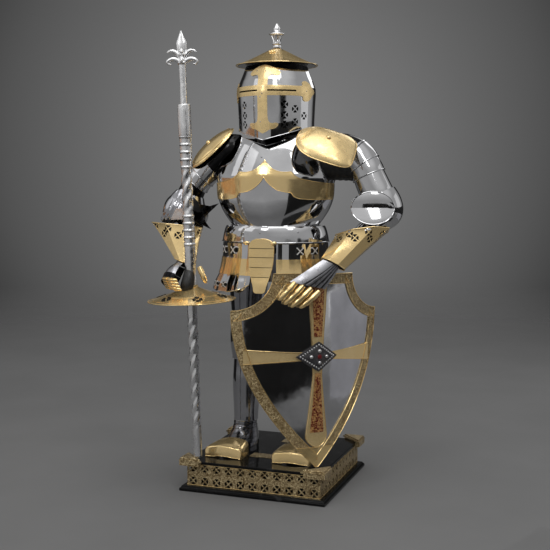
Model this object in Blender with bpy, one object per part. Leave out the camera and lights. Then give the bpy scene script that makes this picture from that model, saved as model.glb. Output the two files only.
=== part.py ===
"""Suit of plate armour with its lance and shield, standing on a square plinth.

Metres, +Z up. The suit faces -Y, so the wearer's right arm is at -X and the left arm at +X.
The origin is the centre of the plinth's underside. Every plate of the harness is a sheet given
its thickness by a Solidify modifier, over a hollow: nothing stands in for the wearer. Paired
plates end in _r and _l, for the wearer's right and left side.
"""

import math

import bpy
import numpy as np

# ---- Driving sizes ----
GAP = 0.0005  # clearance between two pieces that rest on each other
PLATE = 0.002  # thickness of a steel plate
LEAF = 0.0015  # thickness of an applied gilt plate
OVERLAY = LEAF + 0.0012  # height of an applied plate's face over the plate it lies on

PLINTH_WIDTH = 0.655
PLINTH_DEPTH = 0.635
BASE_HEIGHT = 0.0226
BASE_CHAMFER = 0.006
BAND_INSET = 0.027
BAND_TOP = 0.1171
BOARD_TOP = 0.130
BOARD_OVERHANG = 0.006
CORNER_LEG = 0.105
CORNER_REACH = 0.027
CORNER_TOP = 0.146
CORNER_SKIRT = 0.112
FLOOR = BOARD_TOP + GAP  # what the feet stand on

BODY_TURN = math.radians(4.0)  # the body is turned a little to the wearer's left
HELM_TURN = math.radians(1.0)
HELM_X = 0.005

LANCE_FOOT = np.array((-0.252, -0.285, CORNER_TOP + 2.5 * GAP))
LANCE_TIP = np.array((-0.306, -0.305, 1.947))
VAMPLATE_RADIUS = 0.185
VAMPLATE_RISE = 0.058
VAMPLATE_AT = 0.680  # along the lance, from its foot

SHIELD_FOOT = np.array((0.277, -0.272, CORNER_TOP + GAP))
SHIELD_HEADING = math.radians(48.5)  # from -Y towards +X
SHIELD_LEAN = math.radians(2.3)
SHIELD_ROLL = math.radians(1.9)
SHIELD_HALF = 0.366
SHIELD_CORNER = 0.654
SHIELD_HORN = 0.194
SHIELD_TOP = 0.805
SHIELD_KEEL = math.radians(8.7)  # how far each half is turned back at the middle
SHIELD_BEND = 0.82  # further turn, radians for each metre across
BORDER_WIDTH = 0.044
CROSS_AT = 0.469  # height of the cross's middle over the shield's foot
BOSS_HALF = (0.098, 0.062)

# ---- Section tables: one row for each level ----
# height, half width, front depth, back depth
TORSO = (
    (1.134, 0.190, 0.166, 0.118),
    (1.165, 0.214, 0.174, 0.126),
    (1.210, 0.242, 0.180, 0.134),
    (1.270, 0.260, 0.184, 0.142),
    (1.340, 0.262, 0.184, 0.146),
    (1.380, 0.252, 0.176, 0.146),
    (1.430, 0.230, 0.160, 0.142),
    (1.475, 0.205, 0.142, 0.134),
    (1.515, 0.180, 0.122, 0.124),
)
# height, how far round the plate reaches from its middle, in degrees
BACK_ARMHOLE = (
    (1.134, 87),
    (1.320, 86),
    (1.350, 74),
    (1.384, 64),
    (1.430, 56),
    (1.475, 52),
    (1.515, 54),
)
# height, how far round the breast reaches on the wearer's right and left, in degrees
ARMHOLE = (
    (1.134, 87, 87),
    (1.340, 84, 86),
    (1.384, 68, 78),
    (1.402, 47, 73),
    (1.430, 39, 64),
    (1.475, 38, 54),
    (1.515, 44, 50),
)
NECK_DROP = 0.038  # how far the breastplate's neck falls to its middle
NECK_SPAN = 40.0  # degrees each way over which it falls
# degrees from the front, upper edge, lower edge, of the scalloped chest band
CHEST_BAND = (
    (0, 1.416, 1.344),
    (7, 1.382, 1.308),
    (14, 1.366, 1.290),
    (26, 1.367, 1.277),
    (31, 1.344, 1.256),
    (55, 1.322, 1.249),
    (87, 1.316, 1.249),
)
# height, half width, front depth, back depth
HIP = (
    (0.850, 0.287, 0.212, 0.196),
    (0.885, 0.274, 0.206, 0.188),
    (0.930, 0.252, 0.196, 0.176),
    (0.995, 0.238, 0.186, 0.162),
    (1.064, 0.235, 0.180, 0.155),
    (1.100, 0.231, 0.178, 0.150),
    (1.130, 0.224, 0.174, 0.140),
)
HIP_BAND = (0.927, 0.998)  # lower and upper edge of the gilt band round the hips
# height, half width of the tongue
TONGUE = (
    (0.857, 0.016),
    (0.880, 0.027),
    (0.925, 0.040),
    (0.965, 0.049),
    (1.010, 0.053),
    (1.046, 0.0535),
    (1.070, 0.045),
    (1.083, 0.022),
)
TONGUE_X = -0.010  # how far the tongue hangs to the wearer's right of the middle
# places on the helm's cross, in degrees each way from the front
STEM_SIDE = 7.4
SIGHT_END = 47.5
LOBE_START = 60.0
LOBE_END = 74.0
BAR_END = 86.5
# height in front, half width, front reach, back reach, of the helm
HELM = (
    (1.498, 0.163, 0.166, 0.158),
    (1.5255, 0.1635, 0.168, 0.159),
    (1.561, 0.164, 0.1702, 0.1602),
    (1.650, 0.167, 0.174, 0.163),
    (1.682, 0.169, 0.1755, 0.1645),
    (1.7002, 0.170, 0.176, 0.165),
    (1.7068, 0.1697, 0.1755, 0.165),
    (1.7245, 0.168, 0.173, 0.1642),
    (1.753, 0.158, 0.164, 0.156),
    (1.7675, 0.152, 0.1575, 0.152),
    (1.8105, 0.135, 0.140, 0.134),
    (1.816, 0.133, 0.138, 0.132),
)
HELM_RIM = 1.543  # height of the rim at the sides and back
RIM_SPAN = 55.0  # degrees each way over which the rim falls to its point
# the helm's columns, in degrees each way from the front
HELM_COLUMNS = (0, STEM_SIDE, 22, SIGHT_END, LOBE_START, LOBE_END, BAR_END, 116, 148, 180)
HELM_KEEL = 0.014  # how far the front ridge stands out
CROSS_FOOT = (1, 2)  # rows of HELM: the cross's lower end
CROSS_LOBES = (3, 8)
CROSS_BAR = (4, 7)
SIGHT = 5
CROSS_HEAD = (9, 10)
# height, radius, of the hat
HAT = (
    (1.8225, 0.176),
    (1.8440, 0.116),
    (1.8610, 0.090),
    (1.8910, 0.028),
    (1.8970, 0.012),
)
HAT_LINING = (1.8190, 1.8205, 0.168, 0.014)  # underside, top, radius, hole
# height, radius, of the finial's stem, socket and bud
FINIAL = (
    (1.8130, 0.005),
    (1.8980, 0.005),
    (1.8985, 0.019),
    (1.9080, 0.016),
    (1.9200, 0.019),
    (1.9240, 0.009),
    (1.9500, 0.020),
    (1.9560, 0.034),
    (1.9640, 0.030),
    (1.9720, 0.016),
    (2.0000, 0.003),
)
# height, centre y, half width, front reach, back reach, of a foot's plates
FOOT = (
    (FLOOR + 0.0012, -0.050, 0.060, 0.120, 0.096),
    (0.160, -0.046, 0.060, 0.114, 0.094),
    (0.185, -0.036, 0.056, 0.090, 0.086),
    (0.212, -0.026, 0.051, 0.064, 0.072),
    (0.240, -0.020, 0.047, 0.052, 0.058),
    (0.262, -0.018, 0.046, 0.048, 0.052),
)
# y, half width, height over the sole, of the gilt toe cap
TOE = (
    (-0.118, 0.070, 0.066),
    (-0.150, 0.078, 0.061),
    (-0.196, 0.086, 0.050),
    (-0.207, 0.085, 0.044),
    (-0.212, 0.081, 0.004),
)
SPLAY = {"r": 0.16, "l": 0.03}  # how far each foot turns outwards, across for each metre forward
LEG_X = 0.135
# height, distance of the centre from the middle, centre y, half width, half depth
GREAVE = (
    (0.266, 0.135, -0.018, 0.052, 0.058),
    (0.330, 0.135, -0.014, 0.056, 0.064),
    (0.430, 0.135, -0.006, 0.062, 0.072),
    (0.520, 0.134, -0.008, 0.058, 0.066),
    (0.570, 0.133, -0.012, 0.055, 0.061),
)
POLEYN = (
    (0.545, 0.133, -0.012, 0.062, 0.069),
    (0.590, 0.132, -0.020, 0.066, 0.079),
    (0.630, 0.131, -0.024, 0.068, 0.086),
    (0.670, 0.130, -0.020, 0.070, 0.080),
    (0.705, 0.129, -0.014, 0.072, 0.078),
)
CUISSE = (
    (0.684, 0.129, -0.014, 0.063, 0.069),
    (0.760, 0.127, -0.012, 0.073, 0.078),
    (0.850, 0.124, -0.010, 0.083, 0.087),
    (0.960, 0.122, -0.008, 0.090, 0.094),
)

# ---- The arms: x, y, z and radius at each station of each plate ----
ARM = {
    "r": {
        "shoulder": ((-0.150, -0.006, 1.505, 0.030), (-0.185, -0.008, 1.484, 0.056),
                     (-0.240, -0.012, 1.440, 0.063), (-0.292, -0.018, 1.398, 0.067)),
        "arm_lame_1": ((-0.276, -0.017, 1.407, 0.0585), (-0.312, -0.021, 1.375, 0.0620),
                       (-0.338, -0.024, 1.351, 0.0640)),
        "arm_lame_2": ((-0.322, -0.022, 1.363, 0.0565), (-0.348, -0.026, 1.338, 0.0600),
                       (-0.366, -0.028, 1.318, 0.0625)),
        "rerebrace": ((-0.352, -0.027, 1.331, 0.0540), (-0.376, -0.031, 1.298, 0.0555),
                      (-0.392, -0.035, 1.266, 0.0590), (-0.398, -0.037, 1.246, 0.0600)),
        "couter": ((-0.392, -0.036, 1.270, 0.0640), (-0.402, -0.040, 1.238, 0.0820),
                   (-0.410, -0.044, 1.208, 0.0980), (-0.412, -0.046, 1.178, 0.1020),
                   (-0.410, -0.072, 1.160, 0.0400), (-0.404, -0.112, 1.118, 0.0380),
                   (-0.352, -0.210, 1.035, 0.0320)),
    },
    "l": {
        "shoulder": ((0.228, 0.030, 1.508, 0.018), (0.268, 0.030, 1.484, 0.056),
                     (0.318, 0.030, 1.460, 0.078), (0.350, 0.030, 1.436, 0.081)),
        "arm_lame_1": ((0.338, 0.030, 1.446, 0.0765), (0.372, 0.030, 1.414, 0.0765),
                       (0.388, 0.030, 1.392, 0.0760)),
        "arm_lame_2": ((0.380, 0.030, 1.404, 0.0720), (0.402, 0.030, 1.370, 0.0725),
                       (0.411, 0.030, 1.350, 0.0725)),
        "rerebrace": ((0.406, 0.030, 1.362, 0.0680), (0.420, 0.030, 1.330, 0.0700),
                      (0.446, 0.030, 1.276, 0.0720), (0.458, 0.030, 1.256, 0.0705)),
        "couter": ((0.454, 0.030, 1.264, 0.0790), (0.474, 0.030, 1.228, 0.0810),
                   (0.482, 0.024, 1.198, 0.0780), (0.464, -0.002, 1.160, 0.0560),
                   (0.422, -0.052, 1.112, 0.0470), (0.360, -0.130, 1.040, 0.0370)),
    },
}
# centre, first half axis and second half axis of each cuff's two ends
CUFF = {
    "r": (((-0.406, -0.141, 1.134), (0.110, 0.040, -0.013), (0.040, -0.110, 0.008)),
          ((-0.325, -0.240, 0.985), (0.045, 0.016, -0.014), (0.016, -0.047, 0.000))),
    "l": (((0.400, -0.036, 1.107), (0.114, 0.041, 0.015), (0.036, -0.112, 0.031)),
          ((0.317, -0.183, 0.987), (0.048, 0.017, -0.026), (0.014, -0.040, 0.012))),
}
# centre, direction it faces, direction of its long half axis, half axes, height, roundness
PAULDRON = {
    "r": ((-0.283, -0.026, 1.472), (-0.520, -0.470, 0.710), (-0.706, -0.254, -0.660),
          0.119, 0.086, 0.040, 0.8, 0.95),
    "l": ((0.267, -0.135, 1.464), (0.413, -0.514, 0.752), (0.909, 0.279, -0.308),
          0.125, 0.109, 0.054, 0.42, 0.80),
}
WING = ((0.448, -0.050, 1.216), (0.339, -0.941, 0.0), (0.941, 0.339, 0.0), 0.090, 0.068, 0.030, 1, 1)
# the four corners of each hand's plates: upper and lower at the wrist end, then at the far end
HAND_L = ((0.287, -0.226, 1.008), (0.346, -0.182, 0.975), (0.186, -0.345, 0.924),
          (0.307, -0.250, 0.888))
FINGERS_L = ((0.186, -0.328, 0.924), (0.292, -0.252, 0.874), (0.131, -0.359, 0.854),
             (0.219, -0.306, 0.803))
FINGERS_R = ((-0.343, -0.384, 0.917), (-0.340, -0.383, 0.886), (-0.281, -0.390, 0.922),
             (-0.262, -0.389, 0.878))
THUMB_R = ((-0.244, -0.300, 0.968), (-0.225, -0.293, 0.968), (-0.217, -0.291, 0.900),
           (-0.198, -0.284, 0.900))
# x, y, z, radius of the right hand's back, open towards the lance
HAND_R = (
    (-0.322, -0.236, 1.008, 0.024),
    (-0.328, -0.252, 0.978, 0.027),
    (-0.331, -0.266, 0.962, 0.030),
    (-0.342, -0.308, 0.928, 0.042),
    (-0.350, -0.337, 0.893, 0.043),
)
HAND_SIDE = np.array((-0.941, -0.339, 0.0))  # from the lance towards the right hand
HAND_FRONT = np.array((0.339, -0.941, 0.0))

# ---- Colours: base colour, roughness, metallic ----
STEEL = ("steel", (0.62, 0.62, 0.64), 0.12, 1.0)
GILT = ("gilt", (0.86, 0.62, 0.27), 0.22, 1.0)
ETCHED = ("etched_gilt", (0.68, 0.52, 0.28), 0.38, 1.0)
SILVER = ("silvered_steel", (0.78, 0.78, 0.79), 0.18, 1.0)
LACQUER = ("black_lacquer", (0.012, 0.012, 0.014), 0.12, 0.0)
JEWEL = ("dark_boss", (0.10, 0.09, 0.10), 0.20, 1.0)


def clear_scene():
    for old in list(bpy.data.objects):
        bpy.data.objects.remove(old, do_unlink=True)


def material(spec):
    name, colour, roughness, metallic = spec
    if name in bpy.data.materials:
        return bpy.data.materials[name]
    made = bpy.data.materials.new(name)
    made.use_nodes = True
    shader = made.node_tree.nodes["Principled BSDF"]
    shader.inputs["Base Color"].default_value = (*colour, 1.0)
    shader.inputs["Roughness"].default_value = roughness
    shader.inputs["Metallic"].default_value = metallic
    return made


def add_object(name, points, faces, finish):
    mesh = bpy.data.meshes.new(name)
    mesh.from_pydata([tuple(map(float, p)) for p in points], [], faces)
    mesh.shade_smooth()
    mesh.set_sharp_from_angle(angle=math.radians(35))
    mesh.materials.append(material(finish))
    made = bpy.data.objects.new(name, mesh)
    bpy.context.scene.collection.objects.link(made)
    return made


# ---- Grids of points: rows of columns, wrapped into rings or open at both sides ----
def cells_of(grid, wrap, keep):
    """The grid's four-sided cells, by point index, turned to face away from its middle."""
    rows, columns = grid.shape[:2]
    cells = []
    for r in range(rows - 1):
        for c in range(columns if wrap else columns - 1):
            if keep is None or keep(r, c):
                after = (c + 1) % columns
                cells.append((r * columns + c, r * columns + after,
                              (r + 1) * columns + after, (r + 1) * columns + c))
    flat = grid.reshape(-1, 3)
    middle = flat.mean(axis=0)
    facing = 0.0
    for a, b, c, d in cells:
        facing += np.dot(np.cross(flat[c] - flat[a], flat[d] - flat[b]), flat[a] - middle)
    return cells if facing > 0 else [(a, d, c, b) for a, b, c, d in cells]


def raised(grid, lift, wrap=False):
    """The same grid moved out along its own normals, for what lies on it."""
    grid = np.asarray(grid, float)
    flat = grid.reshape(-1, 3)
    total = np.zeros_like(flat)
    for cell in cells_of(grid, wrap, None):
        a, b, c, d = (flat[i] for i in cell)
        for i in cell:
            total[i] += np.cross(c - a, d - b)
    total /= np.linalg.norm(total, axis=1, keepdims=True)
    return (flat + lift * total).reshape(grid.shape)


def plate(name, grid, finish, thickness=PLATE, wrap=False, keep=None):
    """A sheet through the grid, thickened inwards: the grid is its outer face."""
    grid = np.asarray(grid, float)
    cells = cells_of(grid, wrap, keep)
    used = sorted({i for cell in cells for i in cell})
    place = {old: new for new, old in enumerate(used)}
    faces = [tuple(place[i] for i in cell) for cell in cells]
    made = add_object(name, grid.reshape(-1, 3)[used], faces, finish)
    wall = made.modifiers.new("thickness", "SOLIDIFY")
    wall.thickness = thickness
    wall.offset = -1.0
    return made


def solid(name, rings, finish):
    """A closed solid through rings of points, with a flat cap on each end."""
    rings = np.asarray(rings, float)
    rows, columns = rings.shape[:2]
    cells = cells_of(rings, True, None)
    start = tuple(range(columns))
    end = tuple(range((rows - 1) * columns, rows * columns))
    first = cells[0]
    forward = first[1] == first[0] + 1
    faces = cells + ([start[::-1], end] if forward else [start, end[::-1]])
    return add_object(name, rings.reshape(-1, 3), faces, finish)


def joined(target, other):
    """The first object with the second added to it by a Boolean union."""
    bpy.context.view_layer.update()
    union = target.modifiers.new("union", "BOOLEAN")
    union.operation = "UNION"
    union.object = other
    graph = bpy.context.evaluated_depsgraph_get()
    mesh = bpy.data.meshes.new_from_object(target.evaluated_get(graph))
    target.modifiers.clear()
    target.data = mesh
    bpy.data.objects.remove(other, do_unlink=True)
    return target


# ---- Points ----
def column_at(table, level, column):
    """One column of a table, read at a level between its rows."""
    return float(np.interp(level, [row[0] for row in table], [row[column] for row in table]))


def between(start, end, share):
    return start + (end - start) * share


def spread(low, high, count):
    return np.linspace(low, high, count)


def turned(x, y, z, turn):
    return (x * math.cos(turn) - y * math.sin(turn), x * math.sin(turn) + y * math.cos(turn), z)


def body_point(table, height, degrees, lift=0.0):
    """A point on the body's section at a height, at an angle from the front towards +X."""
    half, front, back = (column_at(table, height, i) + lift for i in (1, 2, 3))
    angle = math.radians(degrees)
    reach = front if math.cos(angle) > 0 else back
    return turned(half * math.sin(angle), -reach * math.cos(angle), height, BODY_TURN)


def unit(vector):
    vector = np.asarray(vector, float)
    return vector / np.linalg.norm(vector)


def ring(centre, axis, side, radius, count, flat=1.0, low=0.0, high=360.0):
    """Points round an axis, from one angle to another; side is the direction of angle 0."""
    axis = unit(axis)
    side = unit(np.asarray(side, float) - axis * np.dot(side, axis))
    other = np.cross(axis, side)
    whole = high - low >= 360.0
    angles = np.radians(np.linspace(low, high, count, endpoint=not whole))
    return [np.asarray(centre) + radius * (math.cos(a) * side + flat * math.sin(a) * other)
            for a in angles]


def tube(stations, count, side=(0.0, -1.0, 0.0), low=0.0, high=360.0):
    """Rings through (x, y, z, radius) stations, each square to the route there."""
    points = [np.array(station[:3]) for station in stations]
    last = len(points) - 1
    rings = []
    for i, station in enumerate(stations):
        ahead = points[min(i + 1, last)] - points[max(i - 1, 0)]
        rings.append(ring(points[i], ahead, side, station[3], count, 1.0, low, high))
    return rings


def upright(profile, count, x=HELM_X):
    """Rings round an upright axis through (height, radius) rows."""
    return [ring((x, 0.0, z), (0, 0, 1), (0, -1, 0), radius, count) for z, radius in profile]


# ---- Plinth ----
def box_ring(half_width, half_depth, height):
    w, d = half_width, half_depth
    return [(-w, -d, height), (w, -d, height), (w, d, height), (-w, d, height)]


def plinth():
    w, d = PLINTH_WIDTH / 2, PLINTH_DEPTH / 2
    core = BAND_INSET + LEAF + GAP
    # inset from the plinth's sides, height
    profile = ((0.0, 0.0), (0.0, BASE_HEIGHT * 0.55), (BASE_CHAMFER, BASE_HEIGHT),
               (core, BASE_HEIGHT), (core, BAND_TOP))
    solid("plinth_carcass", [box_ring(w - inset, d - inset, z) for inset, z in profile], LACQUER)
    bw, bd = w - BAND_INSET, d - BAND_INSET
    grid = [box_ring(bw, bd, z) for z in (BASE_HEIGHT + GAP, BAND_TOP)]
    band = plate("plinth_band", grid, ETCHED, LEAF, wrap=True)
    band.modifiers["thickness"].use_even_offset = True
    ow, od = bw + BOARD_OVERHANG, bd + BOARD_OVERHANG
    solid("plinth_board", [box_ring(ow, od, z) for z in (BAND_TOP + GAP, BOARD_TOP)], LACQUER)
    for x_name, x_sign in (("r", -1), ("l", 1)):
        for y_name, y_sign in (("front", -1), ("back", 1)):
            corner_cap(f"corner_{y_name}_{x_name}", x_sign, y_sign, bw, bd)


def corner_cap(name, x_sign, y_sign, half_width, half_depth):
    """A gilt cap on one corner of the board, with a skirt down its two edges."""
    x1, y1 = half_width + CORNER_REACH, half_depth + CORNER_REACH
    x0, y0 = x1 - CORNER_LEG, y1 - CORNER_LEG
    xi, yi = half_width + BOARD_OVERHANG + GAP, half_depth + BOARD_OVERHANG + GAP
    step = 0.012

    def rings(outline, low, high):
        return [[(x * x_sign, y * y_sign, z) for x, y in outline] for z in (low, high)]

    outline = [(x0, y1), (x1, y1), (x1, y0)]
    cap = solid(name, rings(outline, BOARD_TOP + GAP, CORNER_TOP), ETCHED)
    edge = 0.001
    skirt = [(x0 + step, yi), (xi, yi), (xi, y0 + step), (x1 - edge, y0 + step),
             (x1 - edge, y1 - edge), (x0 + step, y1 - edge)]
    joined(cap, solid(name + "_skirt", rings(skirt, CORNER_SKIRT, CORNER_TOP - 0.004), ETCHED))


# ---- Legs ----
def leg_grid(table, sign, count=10):
    grid = []
    for z, x, y, half, depth in table:
        angles = np.radians(np.linspace(0, 360, count, endpoint=False))
        grid.append([(sign * x + half * math.sin(a), y - depth * math.cos(a), z)
                     for a in angles])
    return grid


def foot_x(side, sign, y):
    return sign * (LEG_X - SPLAY[side] * y)


def foot_grid(side, sign, count=10):
    grid = []
    for z, y, half, front, back in FOOT:
        row = []
        for a in np.radians(np.linspace(0, 360, count, endpoint=False)):
            ahead = y - (front if math.cos(a) > 0 else back) * math.cos(a)
            row.append((foot_x(side, sign, ahead) + half * math.sin(a), ahead, z))
        grid.append(row)
    return grid


def toe_grid(side, sign, count=9):
    """Arches over the toes, square at the front; each runs from sole to sole."""
    grid = []
    for y, half, rise in TOE:
        row = []
        for share in spread(-1, 1, count):
            a = share * math.pi / 2
            across = math.copysign(abs(math.sin(a)) ** 0.6, a)
            row.append((foot_x(side, sign, y) + half * across, y, FLOOR + rise * math.cos(a) ** 0.5))
        grid.append(row)
    return grid


def legs():
    for side, sign in (("r", -1), ("l", 1)):
        plate("toe_cap_" + side, toe_grid(side, sign), GILT)
        plate("sabaton_" + side, foot_grid(side, sign), STEEL, wrap=True)
        plate("greave_" + side, leg_grid(GREAVE, sign), STEEL, wrap=True)
        plate("poleyn_" + side, leg_grid(POLEYN, sign), STEEL, wrap=True)
        plate("cuisse_" + side, leg_grid(CUISSE, sign), STEEL, wrap=True)


# ---- Body ----
def breast_grid():
    """Rows from the waist to the neck; rows 3 to 5 follow the chest band's two edges."""
    columns = [-row[0] for row in reversed(CHEST_BAND)] + [row[0] for row in CHEST_BAND[1:]]
    low, high = TORSO[0][0], TORSO[-1][0]
    widest = CHEST_BAND[-1][0]
    side_top = CHEST_BAND[-1][1]
    grid = []

    def neck(a):
        return high - NECK_DROP * max(0.0, 1.0 - abs(a) / NECK_SPAN)

    for share in (0.0, 0.28, 0.64):
        grid.append([body_point(TORSO, between(low, column_at(CHEST_BAND, abs(a), 2), share), a)
                     for a in columns])
    for share in (0.0, 0.5, 1.0):
        row = []
        for a in columns:
            top, bottom = (column_at(CHEST_BAND, abs(a), i) for i in (1, 2))
            row.append(body_point(TORSO, between(bottom, top, share), a))
        grid.append(row)
    for height, right, left in ARMHOLE[1:]:
        share = (height - side_top) / (high - side_top)
        row = []
        for a in columns:
            angle = a * (right if a < 0 else left) / widest
            top = between(column_at(CHEST_BAND, abs(a), 1), neck(angle), share)
            row.append(body_point(TORSO, top, angle))
        grid.append(row)
    return grid


def back_grid():
    heights = sorted({row[0] for row in BACK_ARMHOLE} | {row[0] for row in TORSO[:5]})
    grid = []
    for z in heights:
        reach = column_at(BACK_ARMHOLE, z, 1) + 2.6
        grid.append([body_point(TORSO, z, a) for a in spread(180 - reach, 180 + reach, 11)])
    return grid


def torso():
    breast = breast_grid()
    plate("breastplate", breast, STEEL)
    plate("chest_band", raised(breast, OVERLAY)[3:6], GILT, LEAF)
    plate("backplate", back_grid(), STEEL)
    plate("gorget", upright(((1.470, 0.104), (1.500, 0.098), (1.560, 0.090)), 14), STEEL, wrap=True)
    rows = ((1.066, 0.003), (1.100, 0.001), (1.130, -0.005))
    angles = spread(0, 360, 25)[:-1]
    grid = [[body_point(HIP, z, a, lift) for a in angles] for z, lift in rows]
    plate("waist_lame", grid, STEEL, wrap=True)


def tongue():
    """The lamed gilt plate that hangs in front, rounded above and narrow below."""
    grid = []
    for z, half in TONGUE:
        wide = column_at(HIP, z, 1)
        grid.append([body_point(HIP, z, math.degrees(math.asin((half * s + TONGUE_X) / wide)), 0.0115)
                     for s in spread(-1, 1, 7)])
    plate("tongue", grid, GILT)


def skirt(name, angles, low, drop):
    """One plate of the skirt and the gilt band on it; drop(angle) lifts its lower edge."""
    grid = [[body_point(HIP, low + drop(a), a) for a in angles]]
    for z in (0.905, *HIP_BAND, 1.062):
        grid.append([body_point(HIP, z, a) for a in angles])
    plate(name, grid, STEEL)
    band = name.replace("tasset", "tasset_band").replace("culet", "culet_band")
    plate(band, raised(grid, OVERLAY)[2:4], GILT, LEAF)


def skirts():
    for side, sign in (("r", -1), ("l", 1)):
        skirt("tasset_" + side, sign * spread(13, 84, 9), 0.852,
              lambda a: 0.040 * abs((abs(a) - 48) / 36) ** 2.5)
    skirt("culet", spread(85, 275, 13), 0.866, lambda a: 0.0)


# ---- Arms ----
def dish(name, placing, finish, rim=0.2):
    """A convex oval or squarish plate, with a small hole at its middle for the stud there."""
    centre, normal, long_way, half_long, half_short, height, outer, inner = placing
    centre = np.array(centre)
    normal = unit(normal)
    long_way = unit(np.asarray(long_way) - normal * np.dot(long_way, normal))
    short_way = np.cross(normal, long_way)
    fall = 1.0 - rim * rim
    grid = []
    for r in (1.0, 0.82, 0.45, 0.03):
        row = []
        for a in np.radians(np.linspace(0, 360, 12, endpoint=False)):
            end = outer if math.cos(a) > 0 else inner
            across = math.copysign(abs(math.cos(a)) ** end, math.cos(a)) * half_long
            along = math.copysign(abs(math.sin(a)) ** end, math.sin(a)) * half_short
            row.append(centre + r * (across * long_way + along * short_way)
                       + normal * height * math.sqrt(1.0 - fall * r * r))
        grid.append(row)
    return plate(name, grid, finish, wrap=True)


def cuff(side):
    """A flared cuff between its two oval ends, the wider cut at a slant."""
    (top, top_u, top_v), (wrist, wrist_u, wrist_v) = [np.array(end) for end in CUFF[side]]
    grid = []
    for share in (0.0, 0.3, 0.65, 1.0):
        flare = share ** 0.85
        centre = between(top, wrist, share)
        u = between(top_u, wrist_u, flare)
        v = between(top_v, wrist_v, flare)
        grid.append([centre + math.cos(a) * u + math.sin(a) * v
                     for a in np.radians(np.linspace(0, 360, 14, endpoint=False))])
    plate("cuff_" + side, grid, GILT, wrap=True)


def fluted(name, corners, outward, finish, flutes=4, wave=0.006, arch=0.008, thickness=LEAF):
    """A sheet between four corners, with ridges side by side and a slight arch across."""
    near_a, near_b, far_a, far_b = (np.array(corner) for corner in corners)
    outward = unit(outward)
    columns = 2 * flutes + 1
    grid = []
    for share in (0.0, 0.55, 1.0):
        start = between(near_a, far_a, share)
        end = between(near_b, far_b, share)
        row = []
        for i in range(columns):
            across = i / (columns - 1)
            ridge = wave * abs(math.sin(flutes * math.pi * across))
            bulge = arch * (1 - (2 * across - 1) ** 2)
            row.append(between(start, end, across) + outward * (ridge + bulge - 0.008 * share ** 3))
        grid.append(row)
    plate(name, grid, finish, thickness)


def hands():
    fluted("gauntlet_l", HAND_L, shield_normal(-0.07), STEEL, wave=0.003, arch=0.014)
    fluted("fingers_l", FINGERS_L, shield_normal(-0.07), GILT)
    behind = [shield_point(s, h, lift) for s, h, lift in
              ((0.045, 0.835, -0.020), (0.019, 0.835, -0.020),
               (0.020, 0.745, -0.026), (-0.004, 0.745, -0.026))]
    fluted("thumb_l", behind, -shield_normal(0.02), GILT, flutes=1)
    plate("gauntlet_r", tube(HAND_R, 9, HAND_SIDE, -105, 105), STEEL)
    fluted("fingers_r", FINGERS_R, HAND_FRONT, GILT, wave=0.005)
    fluted("thumb_r", THUMB_R, HAND_FRONT, GILT, flutes=1)


def arms():
    for side in ("r", "l"):
        dish("pauldron_" + side, PAULDRON[side], GILT)
        for name, stations in ARM[side].items():
            plate(f"{name}_{side}", tube(stations, 10), STEEL, wrap=True)
        cuff(side)
    joined(bpy.data.objects["couter_l"], dish("wing", WING, STEEL, rim=0.5))
    hands()


# ---- Helm ----
def helm_point(row, degrees):
    """A point on the helm in one row of its table, at an angle from the front towards +X."""
    height, half, front, back = HELM[row]
    angle = math.radians(degrees)
    reach = front if math.cos(angle) > 0 else back
    away = abs(degrees) / 24
    ridge = HELM_KEEL * math.exp(-away * away)
    rise = min(1.0, abs(degrees) / RIM_SPAN) * (HELM_RIM - HELM[0][0])
    level = HELM[CROSS_LOBES[0]][0]
    share = max(0.0, (level - height) / (level - HELM[0][0]))
    x, y, z = turned(half * math.sin(angle), -(reach + ridge) * math.cos(angle),
                     height + rise * share, HELM_TURN)
    return (x + HELM_X, y, z)


def helm():
    """The helm with its two sights, and the gilt cross that lies on its front."""
    angles = list(HELM_COLUMNS) + [-a for a in reversed(HELM_COLUMNS[1:-1])]
    grid = [[helm_point(row, a) for a in angles] for row in range(len(HELM))]

    def span(column):
        ends = (abs(angles[column]), abs(angles[(column + 1) % len(angles)]))
        return min(ends), max(ends)

    def solid_here(row, column):
        near, far = span(column)
        return not (row == SIGHT and near >= STEM_SIDE and far <= SIGHT_END)

    def on_cross(row, column):
        near, far = span(column)
        stem = far <= STEM_SIDE and CROSS_FOOT[0] <= row < CROSS_HEAD[1]
        bar = far <= BAR_END and CROSS_BAR[0] <= row < CROSS_BAR[1]
        foot = far <= 22 and row in (CROSS_FOOT[0], CROSS_HEAD[0])
        lobe = near >= LOBE_START and far <= LOBE_END and CROSS_LOBES[0] <= row < CROSS_LOBES[1]
        return (stem or bar or foot or lobe) and solid_here(row, column)

    crown = [(between(HELM_X, x, 0.09), y * 0.09, HELM[-1][0] + 0.0020) for x, y, _ in grid[-1]]
    plate("helm", grid + [crown], STEEL, wrap=True, keep=solid_here)
    plate("helm_cross", raised(grid, OVERLAY, wrap=True), GILT, LEAF, wrap=True, keep=on_cross)


def hat():
    plate("hat", upright(HAT, 16), GILT, LEAF, wrap=True)
    low, high, radius, hole = HAT_LINING
    plate("hat_lining", upright(((high, radius), (high, hole)), 16), LACQUER, high - low, wrap=True)
    solid("finial", upright(FINIAL, 12), SILVER)


# ---- Lance ----
def lance_point(distance):
    return LANCE_FOOT + unit(LANCE_TIP - LANCE_FOOT) * distance


def lance_rings(profile, count):
    """Rings round the lance through rows of distance, half width and thickness over width."""
    ahead = LANCE_TIP - LANCE_FOOT
    return [ring(lance_point(s), ahead, HAND_SIDE, half, count, flat) for s, half, flat in profile]


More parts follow.
